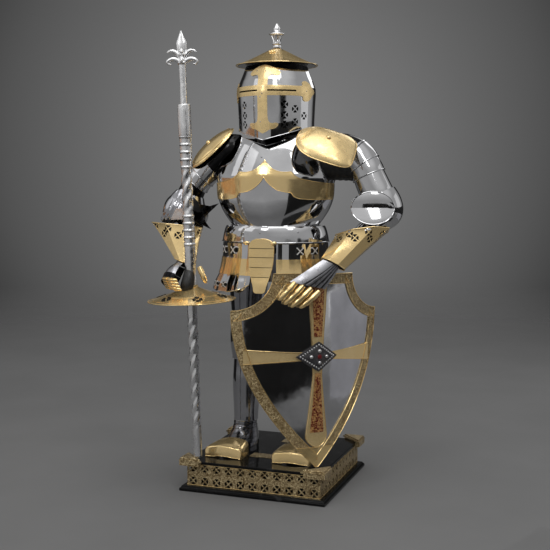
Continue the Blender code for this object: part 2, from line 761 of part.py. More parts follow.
def lance():
    # distance from the foot, radius
    shaft = ((0.0, 0.0175), (0.130, 0.0185), (0.620, 0.0205), (0.880, 0.0212),
             (0.905, 0.0235), (1.040, 0.0235), (1.060, 0.0215), (1.225, 0.0215), (1.245, 0.0235),
             (1.362, 0.0240), (1.372, 0.0275), (1.500, 0.0278), (1.545, 0.0270), (1.552, 0.0155),
             (1.665, 0.0155))
    solid("lance", lance_rings([(s, radius, 1.0) for s, radius in shaft], 12), SILVER)
    # distance from the foot, half width, thickness over width
    head = ((1.6655, 0.0150, 1.0), (1.676, 0.030, 0.50), (1.684, 0.064, 0.22), (1.694, 0.058, 0.22),
            (1.700, 0.019, 0.70), (1.712, 0.030, 0.50), (1.722, 0.050, 0.24), (1.732, 0.054, 0.20),
            (1.737, 0.019, 0.60), (1.752, 0.021, 0.50), (1.7995, 0.003, 1.0))
    solid("lance_head", lance_rings(head, 10), SILVER)
    # share of the rise, radius
    cone = ((0.0, VAMPLATE_RADIUS), (0.30, 0.132), (0.68, 0.066), (1.0, 0.0245))
    rows = [(VAMPLATE_AT + VAMPLATE_RISE * rise, radius, 1.0) for rise, radius in cone]
    plate("vamplate", lance_rings(rows, 20), GILT, wrap=True)


# ---- Shield ----
def shield_axes():
    """Across, up and out, for the shield's own frame."""
    out = np.array((math.sin(SHIELD_HEADING), -math.cos(SHIELD_HEADING), 0.0))
    across = np.array((math.cos(SHIELD_HEADING), math.sin(SHIELD_HEADING), 0.0))
    up = np.array((0.0, 0.0, 1.0))
    up_leant = up * math.cos(SHIELD_LEAN) - out * math.sin(SHIELD_LEAN)
    out_leant = out * math.cos(SHIELD_LEAN) + up * math.sin(SHIELD_LEAN)
    up_rolled = up_leant * math.cos(SHIELD_ROLL) + across * math.sin(SHIELD_ROLL)
    across_rolled = across * math.cos(SHIELD_ROLL) - up_leant * math.sin(SHIELD_ROLL)
    return across_rolled, up_rolled, out_leant


def shield_normal(across):
    side, _, out = shield_axes()
    turn = SHIELD_KEEL + SHIELD_BEND * abs(across)
    if across == 0.0:
        return out
    return out * math.cos(turn) + side * math.sin(turn) * math.copysign(1.0, across)


def shield_point(across, up, lift=0.0):
    """A point on the shield's face: distance across its bend, height over its foot, lift off it."""
    side, upward, out = shield_axes()
    turn = SHIELD_KEEL + SHIELD_BEND * abs(across)
    reach = (math.sin(turn) - math.sin(SHIELD_KEEL)) / SHIELD_BEND
    back = (math.cos(SHIELD_KEEL) - math.cos(turn)) / SHIELD_BEND
    face = SHIELD_FOOT + side * math.copysign(reach, across) - out * back + upward * up
    return face + shield_normal(across) * lift


def shield_half(up):
    """Half the shield's width at a height: an arch below its corners, a scoop above them."""
    if up <= SHIELD_CORNER:
        share = up / SHIELD_CORNER
        return SHIELD_HALF * share * (2 - share)
    share = (SHIELD_TOP - up) / (SHIELD_TOP - SHIELD_CORNER)
    return SHIELD_HALF - (SHIELD_HALF - SHIELD_HORN) * math.sqrt(max(0.0, 1 - share * share))


# height of a row, how far it rises towards the shield's sides, half width of the upright bar
SHIELD_ROWS = (
    (0.004, 0.0, 0.001),
    (0.040, 0.0, 0.012),
    (0.098, 0.0, 0.050),
    (0.160, 0.0, 0.047),
    (0.235, 0.0, 0.037),
    (0.330, 0.0, 0.0255),
    (0.455, -0.018, 0.022),
    (0.483, 0.018, 0.024),
    (0.585, 0.0, 0.030),
    (0.654, 0.0, 0.036),
    (0.664, 0.0, 0.036),
    (0.690, 0.0, 0.038),
    (0.725, 0.0, 0.040),
    (0.762, 0.0, 0.041),
    (0.805, 0.0, 0.041),
)
FOOT_ROW = 2  # below it, and above the top border's row, the applied plate is whole
ARM_ROW = 6
TOP_ROW = 13


def shield():
    grid = []
    for height, rise, bar in SHIELD_ROWS:
        half = shield_half(height + rise)
        inner = max(half - BORDER_WIDTH, half * 0.6)
        bar = min(bar, inner * 0.6)
        row = []
        for s in (-half, -inner, -between(bar, inner, 0.5), -bar, 0.0,
                  bar, between(bar, inner, 0.5), inner, half):
            row.append(shield_point(s, height + rise * abs(s) / half))
        grid.append(row)

    def keep(row, column):
        whole = row < FOOT_ROW or row >= TOP_ROW or row == ARM_ROW
        return whole or column in (0, 3, 4, 7)

    plate("shield", grid, STEEL)
    plate("shield_border", raised(grid, OVERLAY), ETCHED, LEAF, keep=keep)
    boss()


def boss():
    """The dark lozenge over the crossing of the shield's cross."""
    wide, tall = BOSS_HALF
    corners = ((0, -1), (0.5, -0.5), (1, 0), (0.5, 0.5), (0, 1), (-0.5, 0.5), (-1, 0), (-0.5, -0.5))
    low = OVERLAY + LEAF + 0.0010
    # scale of the lozenge, height over the shield
    levels = ((1.0, low), (0.96, low + 0.004), (0.66, low + 0.011), (0.04, low + 0.014))
    grid = [[shield_point(x * wide * scale, CROSS_AT + y * tall * scale, lift)
             for x, y in corners] for scale, lift in levels]
    plate("shield_boss", grid, JEWEL, LEAF, wrap=True)


def main():
    clear_scene()
    plinth()
    legs()
    torso()
    tongue()
    skirts()
    arms()
    helm()
    hat()
    lance()
    shield()


main()
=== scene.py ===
"""The looks of a suit of mirror-polished plate armour on its plinth, with lance and shield.

Metres, +Z up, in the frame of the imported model. The suit faces -Y; _r and _l are the wearer's
right (-X) and left (+X). Every plate is a sheet through a grid of points, given its thickness by
a Solidify modifier; sections are smooth curves through short tables.
"""

from math import acos, asin, atan2, copysign, cos, degrees, exp, pi, radians, sin, sqrt

import bpy
import numpy as np
from mathutils.geometry import delaunay_2d_cdt
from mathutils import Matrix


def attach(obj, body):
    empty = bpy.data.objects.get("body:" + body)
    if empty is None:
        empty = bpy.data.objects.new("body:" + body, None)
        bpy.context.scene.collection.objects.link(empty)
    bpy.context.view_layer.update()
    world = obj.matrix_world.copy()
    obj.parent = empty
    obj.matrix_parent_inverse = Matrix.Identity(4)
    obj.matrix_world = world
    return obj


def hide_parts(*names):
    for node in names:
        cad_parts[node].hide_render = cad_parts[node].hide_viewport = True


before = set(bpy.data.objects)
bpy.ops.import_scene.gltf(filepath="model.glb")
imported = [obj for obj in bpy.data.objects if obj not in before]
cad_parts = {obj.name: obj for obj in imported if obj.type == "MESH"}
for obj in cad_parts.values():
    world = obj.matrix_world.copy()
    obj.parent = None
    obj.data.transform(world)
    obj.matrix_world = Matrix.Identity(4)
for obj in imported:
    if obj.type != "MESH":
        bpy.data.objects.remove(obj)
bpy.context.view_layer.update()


def mm(*rows):
    """A table given in millimetres, in metres."""
    return np.array(rows) / 1000


# ---- Driving sizes ----
GAP = 0.0005
PLATE = 0.002
LEAF = 0.0015
OVERLAY = LEAF + 0.0012
# radii of the wires that edge the plates; radius and height of a stud; how far a lame stands proud
RIM = 0.0022
HEAVY_RIM = 0.0024
FINE_RIM = 0.0016
STUD = (0.0035, 0.002)
LAME_STEP = 0.0022
UP = np.array((0.0, 0.0, 1.0))

PLINTH_WIDTH = 0.655
PLINTH_DEPTH = 0.635
BASE_HEIGHT = 0.0226
BAND_INSET = 0.027
BAND_TOP = 0.1171
BAND_CROSS = 0.0165
BAND_CROSSES = 11
BOARD_TOP = 0.13
BOARD_OVERHANG = 0.006
CORNER_LEG = 0.105
CORNER_REACH = 0.027
CORNER_TOP = 0.146
CORNER_SKIRT = 0.112
CORNER_STEP = 0.012
FLOOR = BOARD_TOP + GAP

BODY_TURN = radians(4.0)
HELM_TURN = radians(1.0)
HELM_X = 0.005

LANCE_FOOT = np.array((-0.252, -0.285, CORNER_TOP + 2.5 * GAP))
LANCE_TIP = np.array((-0.306, -0.305, 1.947))
VAMPLATE_RADIUS = 0.185
VAMPLATE_RISE = 0.058
VAMPLATE_AT = 0.68
VAMPLATE_TURN = 28

SHIELD_FOOT = np.array((0.277, -0.272, CORNER_TOP + GAP))
SHIELD_HEADING = radians(48.5)
SHIELD_LEAN = radians(2.3)
SHIELD_ROLL = radians(1.9)
SHIELD_HALF = 0.366
SHIELD_CORNER = 0.654
SHIELD_HORN = 0.194
SHIELD_TOP = 0.805
SHIELD_KEEL = radians(8.7)
SHIELD_BEND = 0.82
BORDER_WIDTH = 0.044
CROSS_AT = 0.464
BOSS_HALF = (0.098, 0.062)

# ---- Section tables: those in mm() are in millimetres ----
# height, half width, front depth, back depth
TORSO = mm((1134, 190, 166, 118), (1165, 214, 174, 126), (1210, 242, 180, 134),
           (1270, 260, 184, 142), (1340, 262, 184, 146), (1380, 252, 176, 146),
           (1430, 230, 160, 142), (1475, 205, 142, 134), (1515, 180, 122, 124))
HIP = mm((850, 287, 212, 196), (885, 274, 206, 188), (930, 252, 196, 176), (995, 238, 186, 162),
         (1064, 235, 180, 155), (1100, 231, 178, 150), (1130, 224, 174, 140))
HIP_BAND = (0.927, 0.998)
HIP_TOP = 1.062
# height, how far round the plate reaches from its middle, in degrees
BACK_ARMHOLE = ((1.134, 87), (1.32, 86), (1.35, 74), (1.384, 64), (1.43, 56), (1.475, 52),
                (1.515, 54))
NECK_DROP = 0.038
NECK_SPAN = 40.0
# height, how far round the breast reaches on the wearer's right and left, in degrees
ARMHOLE = ((1.134, 87, 87), (1.34, 84, 86), (1.384, 68, 78), (1.402, 47, 73), (1.43, 39, 64),
           (1.475, 38, 54), (1.515, 44, 50))
# degrees from the front, upper edge, lower edge, of the scalloped chest band
CHEST_BAND = ((0, 1.416, 1.344), (3, 1.399, 1.324), (7, 1.382, 1.307), (11, 1.372, 1.294),
              (16, 1.366, 1.285), (21, 1.365, 1.28), (26, 1.367, 1.277), (28.5, 1.354, 1.264),
              (32, 1.343, 1.256), (42, 1.331, 1.251), (60, 1.321, 1.249), (86, 1.316, 1.249))
# height, half width of the tongue
TONGUE = mm((857, 16), (860, 21), (880, 27), (925, 40), (965, 49), (1010, 53), (1046, 53.5),
            (1066, 48), (1078, 36), (1084, 19))
TONGUE_X = -0.01
TONGUE_HINGES = (0.923, 0.964, 1.006, 1.044)
# height in front, half width, front reach, back reach, of the helm
HELM = mm((1498, 163, 166, 158), (1556, 164, 170, 160), (1650, 167, 174, 163),
          (1697, 170, 176, 165), (1722, 169, 174, 165), (1753, 158, 164, 156),
          (1780, 147, 152, 147), (1816, 133, 138, 132))
HELM_RIM = 1.543
RIM_SPAN = 55.0
HELM_KEEL = 0.014
SIGHT = (1.7002, 1.7068)
SIGHT_SPAN = (7.4, 47.5)
# degrees from the front, height, of the breathing crosses on each side
BREATHS = ((33, 1.645), (33, 1.592), (33, 1.545), (49, 1.621), (49, 1.5475), (65.5, 1.581))
# degrees from the front, height, along the right half of the cross's head and foot
CROSS_HEAD = ((0, 1.811), (5, 1.8095), (9.5, 1.806), (14, 1.802), (18, 1.797), (22, 1.791),
              (25, 1.784), (26.2, 1.777), (25, 1.7705), (21, 1.7665), (17.5, 1.768), (14, 1.77),
              (11, 1.769), (8.8, 1.764), (7.6, 1.754), (7.2, 1.725))
CROSS_FOOT = ((7.2, 1.682), (7.4, 1.6), (8, 1.58), (9.4, 1.57), (11.5, 1.5635), (14.5, 1.561),
              (18, 1.5615), (20.8, 1.559), (22.3, 1.552), (21.5, 1.544), (19, 1.537),
              (15.5, 1.5345), (12, 1.535), (9, 1.534), (6, 1.5295), (3, 1.5268), (0, 1.5255))
# degrees from the front, height over the middle, along the upper half of the cross's arm
CROSS_ARM = ((7.2, 0.0215), (48, 0.0205), (56, 0.0212), (58.6, 0.0235), (59.8, 0.028),
             (59.6, 0.035), (61, 0.04), (64, 0.043), (68, 0.0425), (72, 0.0385), (75.5, 0.032),
             (78, 0.023), (80.5, 0.015), (84, 0.0095), (86, 0.004), (86.5, 0))
CROSS_MIDDLE = 1.7035
# height, radius, of the hat
HAT = mm((1822.5, 176), (1830.5, 155), (1840, 133), (1861, 88), (1891, 27), (1897, 12))
# height, centre y, half width, front reach, back reach, of a foot's plates
FOOT = mm((1000 * FLOOR + 1.2, -50, 60, 120, 96), (160, -46, 60, 114, 94), (185, -36, 56, 90, 86),
          (212, -26, 51, 64, 72), (240, -20, 47, 52, 58), (262, -18, 46, 48, 52))
# y, half width, height over the sole, of the toe cap
TOE = mm((-212, 81, 4), (-207, 85, 44), (-196, 86, 50), (-150, 78, 61), (-118, 70, 66))
SPLAY = {"r": 0.16, "l": 0.03}
LEG_X = 0.135
# height, distance of the centre from the middle, centre y, half width, half depth
GREAVE = mm((266, 135, -18, 52, 58), (330, 135, -14, 56, 64), (430, 135, -6, 62, 72),
            (520, 134, -8, 58, 66), (570, 133, -12, 55, 61))
POLEYN = mm((545, 133, -12, 62, 69), (590, 132, -20, 66, 79), (630, 131, -24, 68, 86),
            (670, 130, -20, 70, 80), (705, 129, -14, 72, 78))
CUISSE = mm((684, 129, -14, 63, 69), (760, 127, -12, 73, 78), (850, 124, -10, 83, 87),
            (960, 122, -8, 90, 94))
# x, y, z and radius at each station of each arm plate
ARM = {
    "r": {
        "shoulder": mm((-150, -6, 1505, 30), (-185, -8, 1484, 56), (-240, -12, 1440, 63),
                       (-292, -18, 1398, 67)),
        "arm_lame_1": mm((-276, -17, 1407, 58.5), (-312, -21, 1375, 62), (-338, -24, 1351, 64)),
        "arm_lame_2": mm((-322, -22, 1363, 56.5), (-348, -26, 1338, 60), (-366, -28, 1318, 62.5)),
        "rerebrace": mm((-352, -27, 1331, 54), (-376, -31, 1298, 55.5), (-392, -35, 1266, 59),
                        (-398, -37, 1246, 60)),
        "couter": mm((-392, -36, 1270, 64), (-402, -40, 1238, 82), (-410, -44, 1208, 98),
                     (-412, -46, 1178, 102), (-410, -72, 1160, 40), (-404, -112, 1118, 38),
                     (-352, -210, 1035, 32)),
    },
    "l": {
        "shoulder": mm((228, 30, 1506, 18), (268, 30, 1482, 55), (318, 30, 1454, 72),
                       (350, 30, 1432, 78)),
        "arm_lame_1": mm((338, 30, 1446, 76.5), (372, 30, 1414, 76.5), (388, 30, 1392, 76)),
        "arm_lame_2": mm((380, 30, 1404, 72), (402, 30, 1370, 72.5), (411, 30, 1350, 72.5)),
        "rerebrace": mm((406, 30, 1362, 68), (420, 30, 1330, 70), (446, 30, 1276, 72),
                        (458, 30, 1256, 70.5)),
        "couter": mm((454, 30, 1264, 79), (474, 30, 1228, 81), (482, 24, 1198, 78),
                     (464, -2, 1160, 56), (422, -52, 1112, 47), (360, -130, 1040, 37)),
    },
}
# centre, first half axis and second half axis of each cuff's two ends
CUFF = {
    "r": mm(((-406, -141, 1134), (110, 40, -13), (40, -110, 8)),
            ((-325, -240, 985), (45, 16, -14), (16, -47, 0))),
    "l": mm(((400, -36, 1107), (114, 41, 15), (36, -112, 31)),
            ((317, -183, 987), (48, 17, -26), (14, -40, 12))),
}
# centre, direction it faces, direction of its long half axis, half axes, height, roundness
PAULDRON = {
    "r": ((-0.281, -0.024, 1.468), (-0.52, -0.47, 0.71), (-0.706, -0.254, -0.66),
          0.122, 0.086, 0.04, 0.8, 0.95),
    "l": ((0.267, -0.135, 1.464), (0.413, -0.514, 0.752), (0.909, 0.279, -0.308),
          0.125, 0.109, 0.054, 0.42, 0.8),
}
WING = ((0.448, -0.05, 1.216), (0.339, -0.941, 0), (0.941, 0.339, 0), 0.09, 0.068, 0.018, 1, 1)
# the four corners of each hand's plates: upper and lower at the wrist end, then at the far end
HAND_L = mm((287, -226, 1008), (346, -182, 975), (186, -345, 924), (307, -250, 888))
FINGERS_L = mm((186, -328, 924), (292, -252, 874), (131, -359, 854), (219, -306, 803))
FINGERS_R = mm((-336, -384, 921), (-322, -383, 886), (-292, -395, 922), (-270, -392, 876))
THUMB_R = mm((-244, -300, 968), (-225, -293, 968), (-217, -291, 900), (-198, -284, 900))
# x, y, z and radius along the right hand, its glove, and the black sleeve put as painted shade
# under the left pauldron
HAND_R = mm((-322, -236, 1008, 24), (-328, -252, 978, 27), (-331, -266, 962, 30),
            (-342, -308, 928, 42), (-350, -337, 893, 43))
GLOVE_R = mm((-300, -262, 990, 10), (-284, -290, 955, 19), (-276, -315, 920, 26),
             (-280, -325, 885, 28), (-290, -325, 862, 20))
SLEEVE = mm((150, 0, 1405, 62), (250, 10, 1398, 66), (330, 20, 1388, 60), (392, 30, 1372, 50))
HAND_FRONT = np.array((0.339, -0.941, 0.0))
HAND_ACROSS = np.array((0.941, 0.339, 0.0))
# the arm plates in the deepest shade, painted near-black as painted shade
SHADED = {("shoulder", "r"), ("rerebrace", "r"), ("shoulder", "l")}
# outlines of the right couter's fluted wing, spiked wing and flat face, across and up
FAN_LEFT = mm((12, 118), (-28, 108), (-51, 88), (-73, 50), (-91, 11), (-105, -20), (-96, -33),
              (-74, -38), (-48, -36), (0, -34))
FAN_RIGHT = mm((40, 80), (71, 46), (111, 37), (149, 48), (115, 14), (93, -8), (93, -30),
               (115, -68), (84, -48), (79, -65), (53, -40), (35, -20))
FAN_FACE = mm((-58, -22), (2, -18), (2, 30), (-33, 28))

SIDES = (("r", -1), ("l", 1))
# inset and height of the plinth's moulding, from its foot up
PLINTH_MOULDING = mm((1.5, 0), (0, 1.5), (0, 10.5), (1.2, 12.5), (4, 14), (6.5, 17), (7.5, 20.5))
# height and radius of the collar; height and lift of the waist plate over the hips
COLLAR = mm((1470, 104), (1500, 98), (1560, 90))
WAIST = mm((1066, 3), (1100, 1), (1128, -1), (1135.5, -5))
# width of the skirt's facets in degrees; degrees round, height, half size, of its crosses
FACET = 13.0
SKIRT_CROSSES = ((38.5, 1.0325, 0.0175), (57.5, 1.0325, 0.0165), (43.6, 0.883, 0.012),
                 (59.7, 0.883, 0.012))
# degrees from the front, height, of the studs on the helm's cross
CROSS_STUDS = ((0, 1.716), (0, 1.69), (-3, 1.677), (-3, 1.572), (3, 1.784), (-13, 1.786),
               (66, 1.704), (-66, 1.704))
# height and radius of the finial's socket and bud; distance out and height of its struts
FINIAL_SOCKET = mm((1898.5, 19), (1903, 19.5), (1908, 16), (1914, 18.5), (1920, 19), (1924, 10))
FINIAL_BUD = mm((1952, 30), (1956, 34), (1960, 31), (1966, 20), (1972, 14.5), (1980, 15),
                (1988, 11), (2000, 3))
FINIAL_STRUT = mm((12, 1918), (14, 1934), (22, 1953))
# distance from the lance's foot and radius, of its shaft, rod, collar and blade
LANCE_SHAFT = mm((0, 16), (6, 18), (130, 18.5), (620, 20.5), (950, 23.5), (1030, 23.5),
                 (1060, 21.5), (1225, 21.5), (1250, 23.5), (1362, 24), (1372, 27), (1460, 27.6),
                 (1496, 26.8), (1498, 25))
LANCE_ROD = mm((1498, 15), (1580, 14.2), (1665, 15.5))
LANCE_COLLAR = mm((1660, 16.5), (1668, 19.5), (1674, 16.5), (1690, 14), (1700, 17.5),
                  (1704, 17.5), (1710, 12))
LANCE_BLADE = mm((1672, 12), (1700, 16), (1728, 20.5), (1746, 21.5), (1771, 13), (1798.5, 2))
# outwards, up along the lance, thickness, of the fleur's upper and lower leaves
LANCE_LEAF = mm((6, 1686, 8), (15, 1700, 8.5), (27, 1713, 8.5), (40, 1718, 7), (52, 1716.5, 5),
                (61, 1710, 2.8))
LANCE_CURL = mm((6, 1668, 8), (20, 1679, 9.5), (36, 1684, 10), (52, 1681, 8.5), (61, 1672, 6.5),
                (56, 1664, 4.8), (45, 1663, 3))
# height, half width, of the upright bar of the shield's cross
SHIELD_BAR = mm((88, 4), (94, 20), (104, 34), (118, 45), (134, 49.5), (160, 47), (235, 37),
                (330, 25.5), (385, 20), (440, 22), (500, 25), (585, 30), (654, 36), (764, 41))
# share of the shield boss's size, lift, of the steps of its lozenge
BOSS_LEVELS = ((1, 0), (1, 0.004), (0.9, 0.0055), (0.82, 0.0035), (0.76, 0.0035), (0.68, 0.008),
               (0.3, 0.012), (0.03, 0.0125))


# ---- Materials ----
class Nodes:
    """A node tree, and short ways to add the nodes that vary a value over a surface."""

    def __init__(self, tree, place):
        self.tree = tree
        self.place = self.add("TexCoord", place)

    def join(self, value, socket):
        if isinstance(value, bpy.types.NodeSocket):
            self.tree.links.new(value, socket)
        else:
            socket.default_value = value

    def add(self, kind, output, inputs=(), **settings):
        """A new node's output, with its settings made and its inputs linked or set."""
        made = self.tree.nodes.new("ShaderNode" + kind)
        for name, value in settings.items():
            setattr(made, name, value)
        for socket, value in dict(inputs).items():
            self.join(value, made.inputs[socket])
        return made.outputs[output]

    def noise(self, scale, detail=3.0, distortion=0.0):
        return self.add("TexNoise", "Fac", {"Vector": self.place, "Scale": scale, "Detail": detail,
                                            "Distortion": distortion})

    def cells(self, scale, output="Distance"):
        return self.add("TexVoronoi", output, {"Vector": self.place, "Scale": scale})

    def ramp(self, value, *stops):
        """Colours at places from 0 to 1: each stop is (place, colour or grey)."""
        made = self.tree.nodes.new("ShaderNodeValToRGB")
        points = made.color_ramp.elements
        while len(points) < len(stops):
            points.new(0.5)
        for point, (place, colour) in zip(points, stops):
            point.position = place
            point.color = (*(colour if isinstance(colour, tuple) else (colour,) * 3), 1.0)
        self.join(value, made.inputs["Fac"])
        return made.outputs["Color"]

    def maths(self, operation, first, second=0.0):
        return self.add("Math", "Value", {0: first, 1: second}, operation=operation)

    def vectors(self, operation, first, second=(0.0, 0.0, 0.0), output="Vector"):
        return self.add("VectorMath", output, {0: first, 1: second}, operation=operation)


class Shader(Nodes):
    """A Principled material whose sockets are set or linked."""

    def __init__(self, name, colour, roughness, metallic):
        self.material = bpy.data.materials.new(name)
        self.material.use_nodes = True
        super().__init__(self.material.node_tree, "Object")
        self.bsdf = self.tree.nodes["Principled BSDF"]
        self.to("Base Color", (*colour, 1.0))
        self.to("Roughness", roughness)
        self.to("Metallic", metallic)

    def to(self, socket, value):
        self.join(value, self.bsdf.inputs[socket])

    def vary(self, socket, value, *stops):
        self.to(socket, self.ramp(value, *stops))

    def glow(self, colour):
        self.to("Emission Color", colour)
        self.to("Emission Strength", 0.8)

    def bump(self, height, strength, distance):
        inputs = {"Height": height, "Strength": strength, "Distance": distance}
        normal = self.bsdf.inputs["Normal"]
        if normal.is_linked:
            inputs["Normal"] = normal.links[0].from_socket
        self.to("Normal", self.add("Bump", "Normal", inputs))


def polished(name, low, high, rough, wave=0.1, metallic=1.0):
    """A mirror-polished metal: faint smudges, hairline polish and a slightly uneven sheet."""
    made = Shader(name, high, 0.1, metallic)
    made.vary("Base Color", made.noise(9.0), (0.35, low), (0.65, high))
    made.vary("Roughness", made.noise(38.0, 5.0), (0.38, rough), (0.72, rough * 2.2))
    made.bump(made.noise(13.0, 1.0), wave, 0.005)
    return made.material


def etched(name, field, line, scale):
    """Gilt etched with fine scrollwork: bright raised lines over a darker granular ground."""
    made = Shader(name, line, 0.3, GILT_METALLIC - 0.4)
    scroll = made.noise(scale, 1.0, 2.6)
    shape = made.ramp(made.maths("PINGPONG", made.maths("MULTIPLY", scroll, 5.0), 0.5),
                      (0.22, 0.0), (0.34, 1.0))
    grain = made.noise(scale * 2.6, 1.0)
    made.vary("Base Color", made.maths("MULTIPLY", shape, made.maths("ADD", grain, 0.3)),
              (0.6, field), (0.76, line))
    made.vary("Roughness", shape, (0.0, 0.42), (1.0, 0.16))
    made.bump(shape, 0.55, 0.0012)
    made.bump(grain, 0.2, 0.0004)
    return made.material


def lacquer():
    made = Shader("black_lacquer", (0.01, 0.01, 0.012), 0.1, 0.0)
    made.vary("Base Color", made.noise(14.0, 6.0, 1.2), (0.56, 0.008), (0.66, 0.028))
    made.vary("Roughness", made.noise(60.0, 4.0), (0.35, 0.05), (0.7, 0.16))
    made.to("Specular IOR Level", 0.12)
    made.bump(made.noise(30.0, 2.0), 0.03, 0.001)
    return made.material


def leather():
    made = Shader("black_leather", (0.012, 0.011, 0.011), 0.5, 0.0)
    made.vary("Base Color", made.noise(120.0), (0.3, 0.007), (0.7, 0.02))
    made.vary("Roughness", made.noise(50.0), (0.3, 0.38), (0.7, 0.6))
    made.bump(made.cells(420.0), 0.4, 0.0006)
    return made.material


def pale_card():
    """A dim grey surface for one side of the shield to mirror."""
    made = Shader("pale_card", (0.24, 0.24, 0.25), 0.7, 0.0)
    made.glow(made.ramp(made.noise(1.5), (0.3, (0.15, 0.15, 0.16)), (0.7, (0.26, 0.26, 0.28))))
    return made.material


def slats():
    """A screen of brown slats beside the armour, for its sides to mirror."""
    made = Shader("slats", (0.3, 0.15, 0.07), 0.6, 0.0)
    wave = made.add("TexWave", "Fac", {"Scale": 3.2, "Distortion": 1.5, "Vector": made.place},
                    bands_direction="Y")
    tint = made.ramp(wave, (0.35, (0.07, 0.03, 0.014)), (0.6, (0.42, 0.22, 0.1)))
    made.to("Base Color", tint)
    made.glow(tint)
    return made.material


def jewelled(name, low, high, scale):
    """Small set stones: rounded cells of two colours."""
    made = Shader(name, high, 0.18, 0.35)
    dome = made.cells(scale)
    tint = made.add("SeparateColor", "Red", {"Color": made.cells(scale, "Color")})
    made.vary("Base Color", tint, (0.2, low), (0.8, high))
    made.vary("Roughness", dome, (0.2, 0.1), (0.6, 0.45))
    made.bump(made.ramp(dome, (0.05, 1.0), (0.55, 0.0)), 0.8, 0.0015)
    return made.material


GILT_METALLIC = 0.78
STEEL = polished("steel", (0.6, 0.6, 0.61), (0.7, 0.7, 0.71), 0.05)
# a darker copy of the steel that paints shade: on the legs, the couter's fluted wing and the studs
SHADE_STEEL = polished("steel_painted_shade", (0.34, 0.34, 0.36), (0.44, 0.44, 0.46), 0.06)
# satin steel: a real satin polish, with painted shade in its darker colour
SATIN_SHADE_STEEL = polished("satin_steel_painted_shade", (0.36, 0.36, 0.38), (0.44, 0.44, 0.46), 0.22)
# a much darker copy of the steel that paints shade on the feet
FOOT_SHADE_STEEL = polished("foot_steel_painted_shade", (0.15, 0.15, 0.16), (0.22, 0.22, 0.23), 0.13)
GILT = polished("gilt", (0.97, 0.71, 0.33), (0.99, 0.745, 0.37), 0.115, 0.06, GILT_METALLIC)
SATIN_GILT = polished("satin_gilt", (0.98, 0.73, 0.35), (0.99, 0.745, 0.37), 0.2, 0.015,
                      GILT_METALLIC - 0.1)
SILVER = polished("silvered_steel", (0.82, 0.82, 0.83), (0.93, 0.93, 0.93), 0.22, 0.05)
BRIGHT = polished("bright_silver", (0.84, 0.84, 0.85), (0.95, 0.95, 0.95), 0.3, 0.03, 0.35)
# dark, dull steel that paints shade: on the inner faces of plates, and in the crosses of the
# skirts and the vamplate in place of piercings
PAINTED_SHADE = polished("painted_shade", (0.035, 0.034, 0.033), (0.05, 0.048, 0.046), 0.38)
# near-black steel that paints deep shade: on the shaded arm plates, the right arm's insides, the
# collar, the tongue's hinge lines, the right knuckles and the couter's spiked wing
BLACK_SHADE = polished("steel_painted_black_shade", (0.012, 0.012, 0.013), (0.035, 0.034, 0.034), 0.1, 0.08)
ETCHED = etched("etched_gilt", (0.16, 0.1, 0.035), (1.0, 0.8, 0.45), 55.0)
GRANULAR = etched("granular_gilt", (0.5, 0.36, 0.16), (1.0, 0.8, 0.44), 150.0)
BOSS = etched("dark_boss", (0.012, 0.012, 0.014), (0.2, 0.19, 0.2), 130.0)
LACQUER = lacquer()
LEATHER = leather()
BEADED = jewelled("beaded_inset", (0.16, 0.012, 0.006), (0.62, 0.34, 0.12), 150.0)
RUBY = jewelled("ruby", (0.1, 0.004, 0.006), (0.24, 0.01, 0.012), 900.0)
SLATS = slats()
PALE = pale_card()
# the slot that each finish fills
SLOTS = {finish: slot for slot, finishes in {
    "steel": (STEEL, SHADE_STEEL, SATIN_SHADE_STEEL, FOOT_SHADE_STEEL, BRIGHT, PAINTED_SHADE, BLACK_SHADE),
    "gilt": (GILT, SATIN_GILT), "etched_gilt": (ETCHED, GRANULAR, BEADED),
    "silvered_steel": (SILVER,), "black_lacquer": (LACQUER, LEATHER),
    "dark_boss": (BOSS, RUBY)}.items() for finish in finishes}


# ---- Tables and points ----
def smoothed(table, count=48):
    """The table with smooth rows between its own, by its first column, with no overshoot."""
    table = np.asarray(table, float)
    x, y = table[:, 0], table[:, 1:]
    step = np.diff(x)[:, None]
    slope = np.diff(y, axis=0) / step
    before, after = np.vstack([slope[:1], slope]), np.vstack([slope, slope[-1:]])
    tangent = (before + after) / 2
    tangent[1:-1][slope[1:] * slope[:-1] <= 0] = 0.0
    limit = 3 * np.minimum(np.abs(before), np.abs(after))
    tangent = np.clip(tangent, -limit, limit)
    levels = np.unique(np.concatenate([np.linspace(x[0], x[-1], count), x]))
    i = np.clip(np.searchsorted(x, levels, side="right") - 1, 0, len(x) - 2)
    h = step[i]
    t = ((levels - x[i]) / step[i, 0])[:, None]
    value = (y[i] * (2 * t**3 - 3 * t**2 + 1) + tangent[i] * h * (t**3 - 2 * t**2 + t)
             + y[i + 1] * (3 * t**2 - 2 * t**3) + tangent[i + 1] * h * (t**3 - t**2))
    return np.column_stack([levels, value])


def column_at(table, level, column):
    return float(np.interp(level, table[:, 0], table[:, column]))


def between(start, end, share):
    return start + (end - start) * share


def spread(low, high, count):
    return np.linspace(low, high, count)


def circle(count):
    return np.radians(np.linspace(0, 360, count, endpoint=False))


def unit(vector):
    vector = np.asarray(vector, float)
    return vector / np.linalg.norm(vector)


def signed_power(value, power):
    return copysign(abs(value) ** power, value)


def shell_point(table, height, angle, lift, turn, ridge=0.0):
    """A point on a body whose half width, front and back depth come from a table by height."""
    half, front, back = (column_at(table, height, i) + lift for i in (1, 2, 3))
    reach = (front if cos(angle) > 0 else back) + ridge
    x, y = half * sin(angle), -reach * cos(angle)
    return np.array((x * cos(turn) - y * sin(turn), x * sin(turn) + y * cos(turn), height))


TORSO, HIP = smoothed(TORSO), smoothed(HIP)


def body_point(table, height, angle, lift=0.0):
    return shell_point(table, height, radians(angle), lift, BODY_TURN)


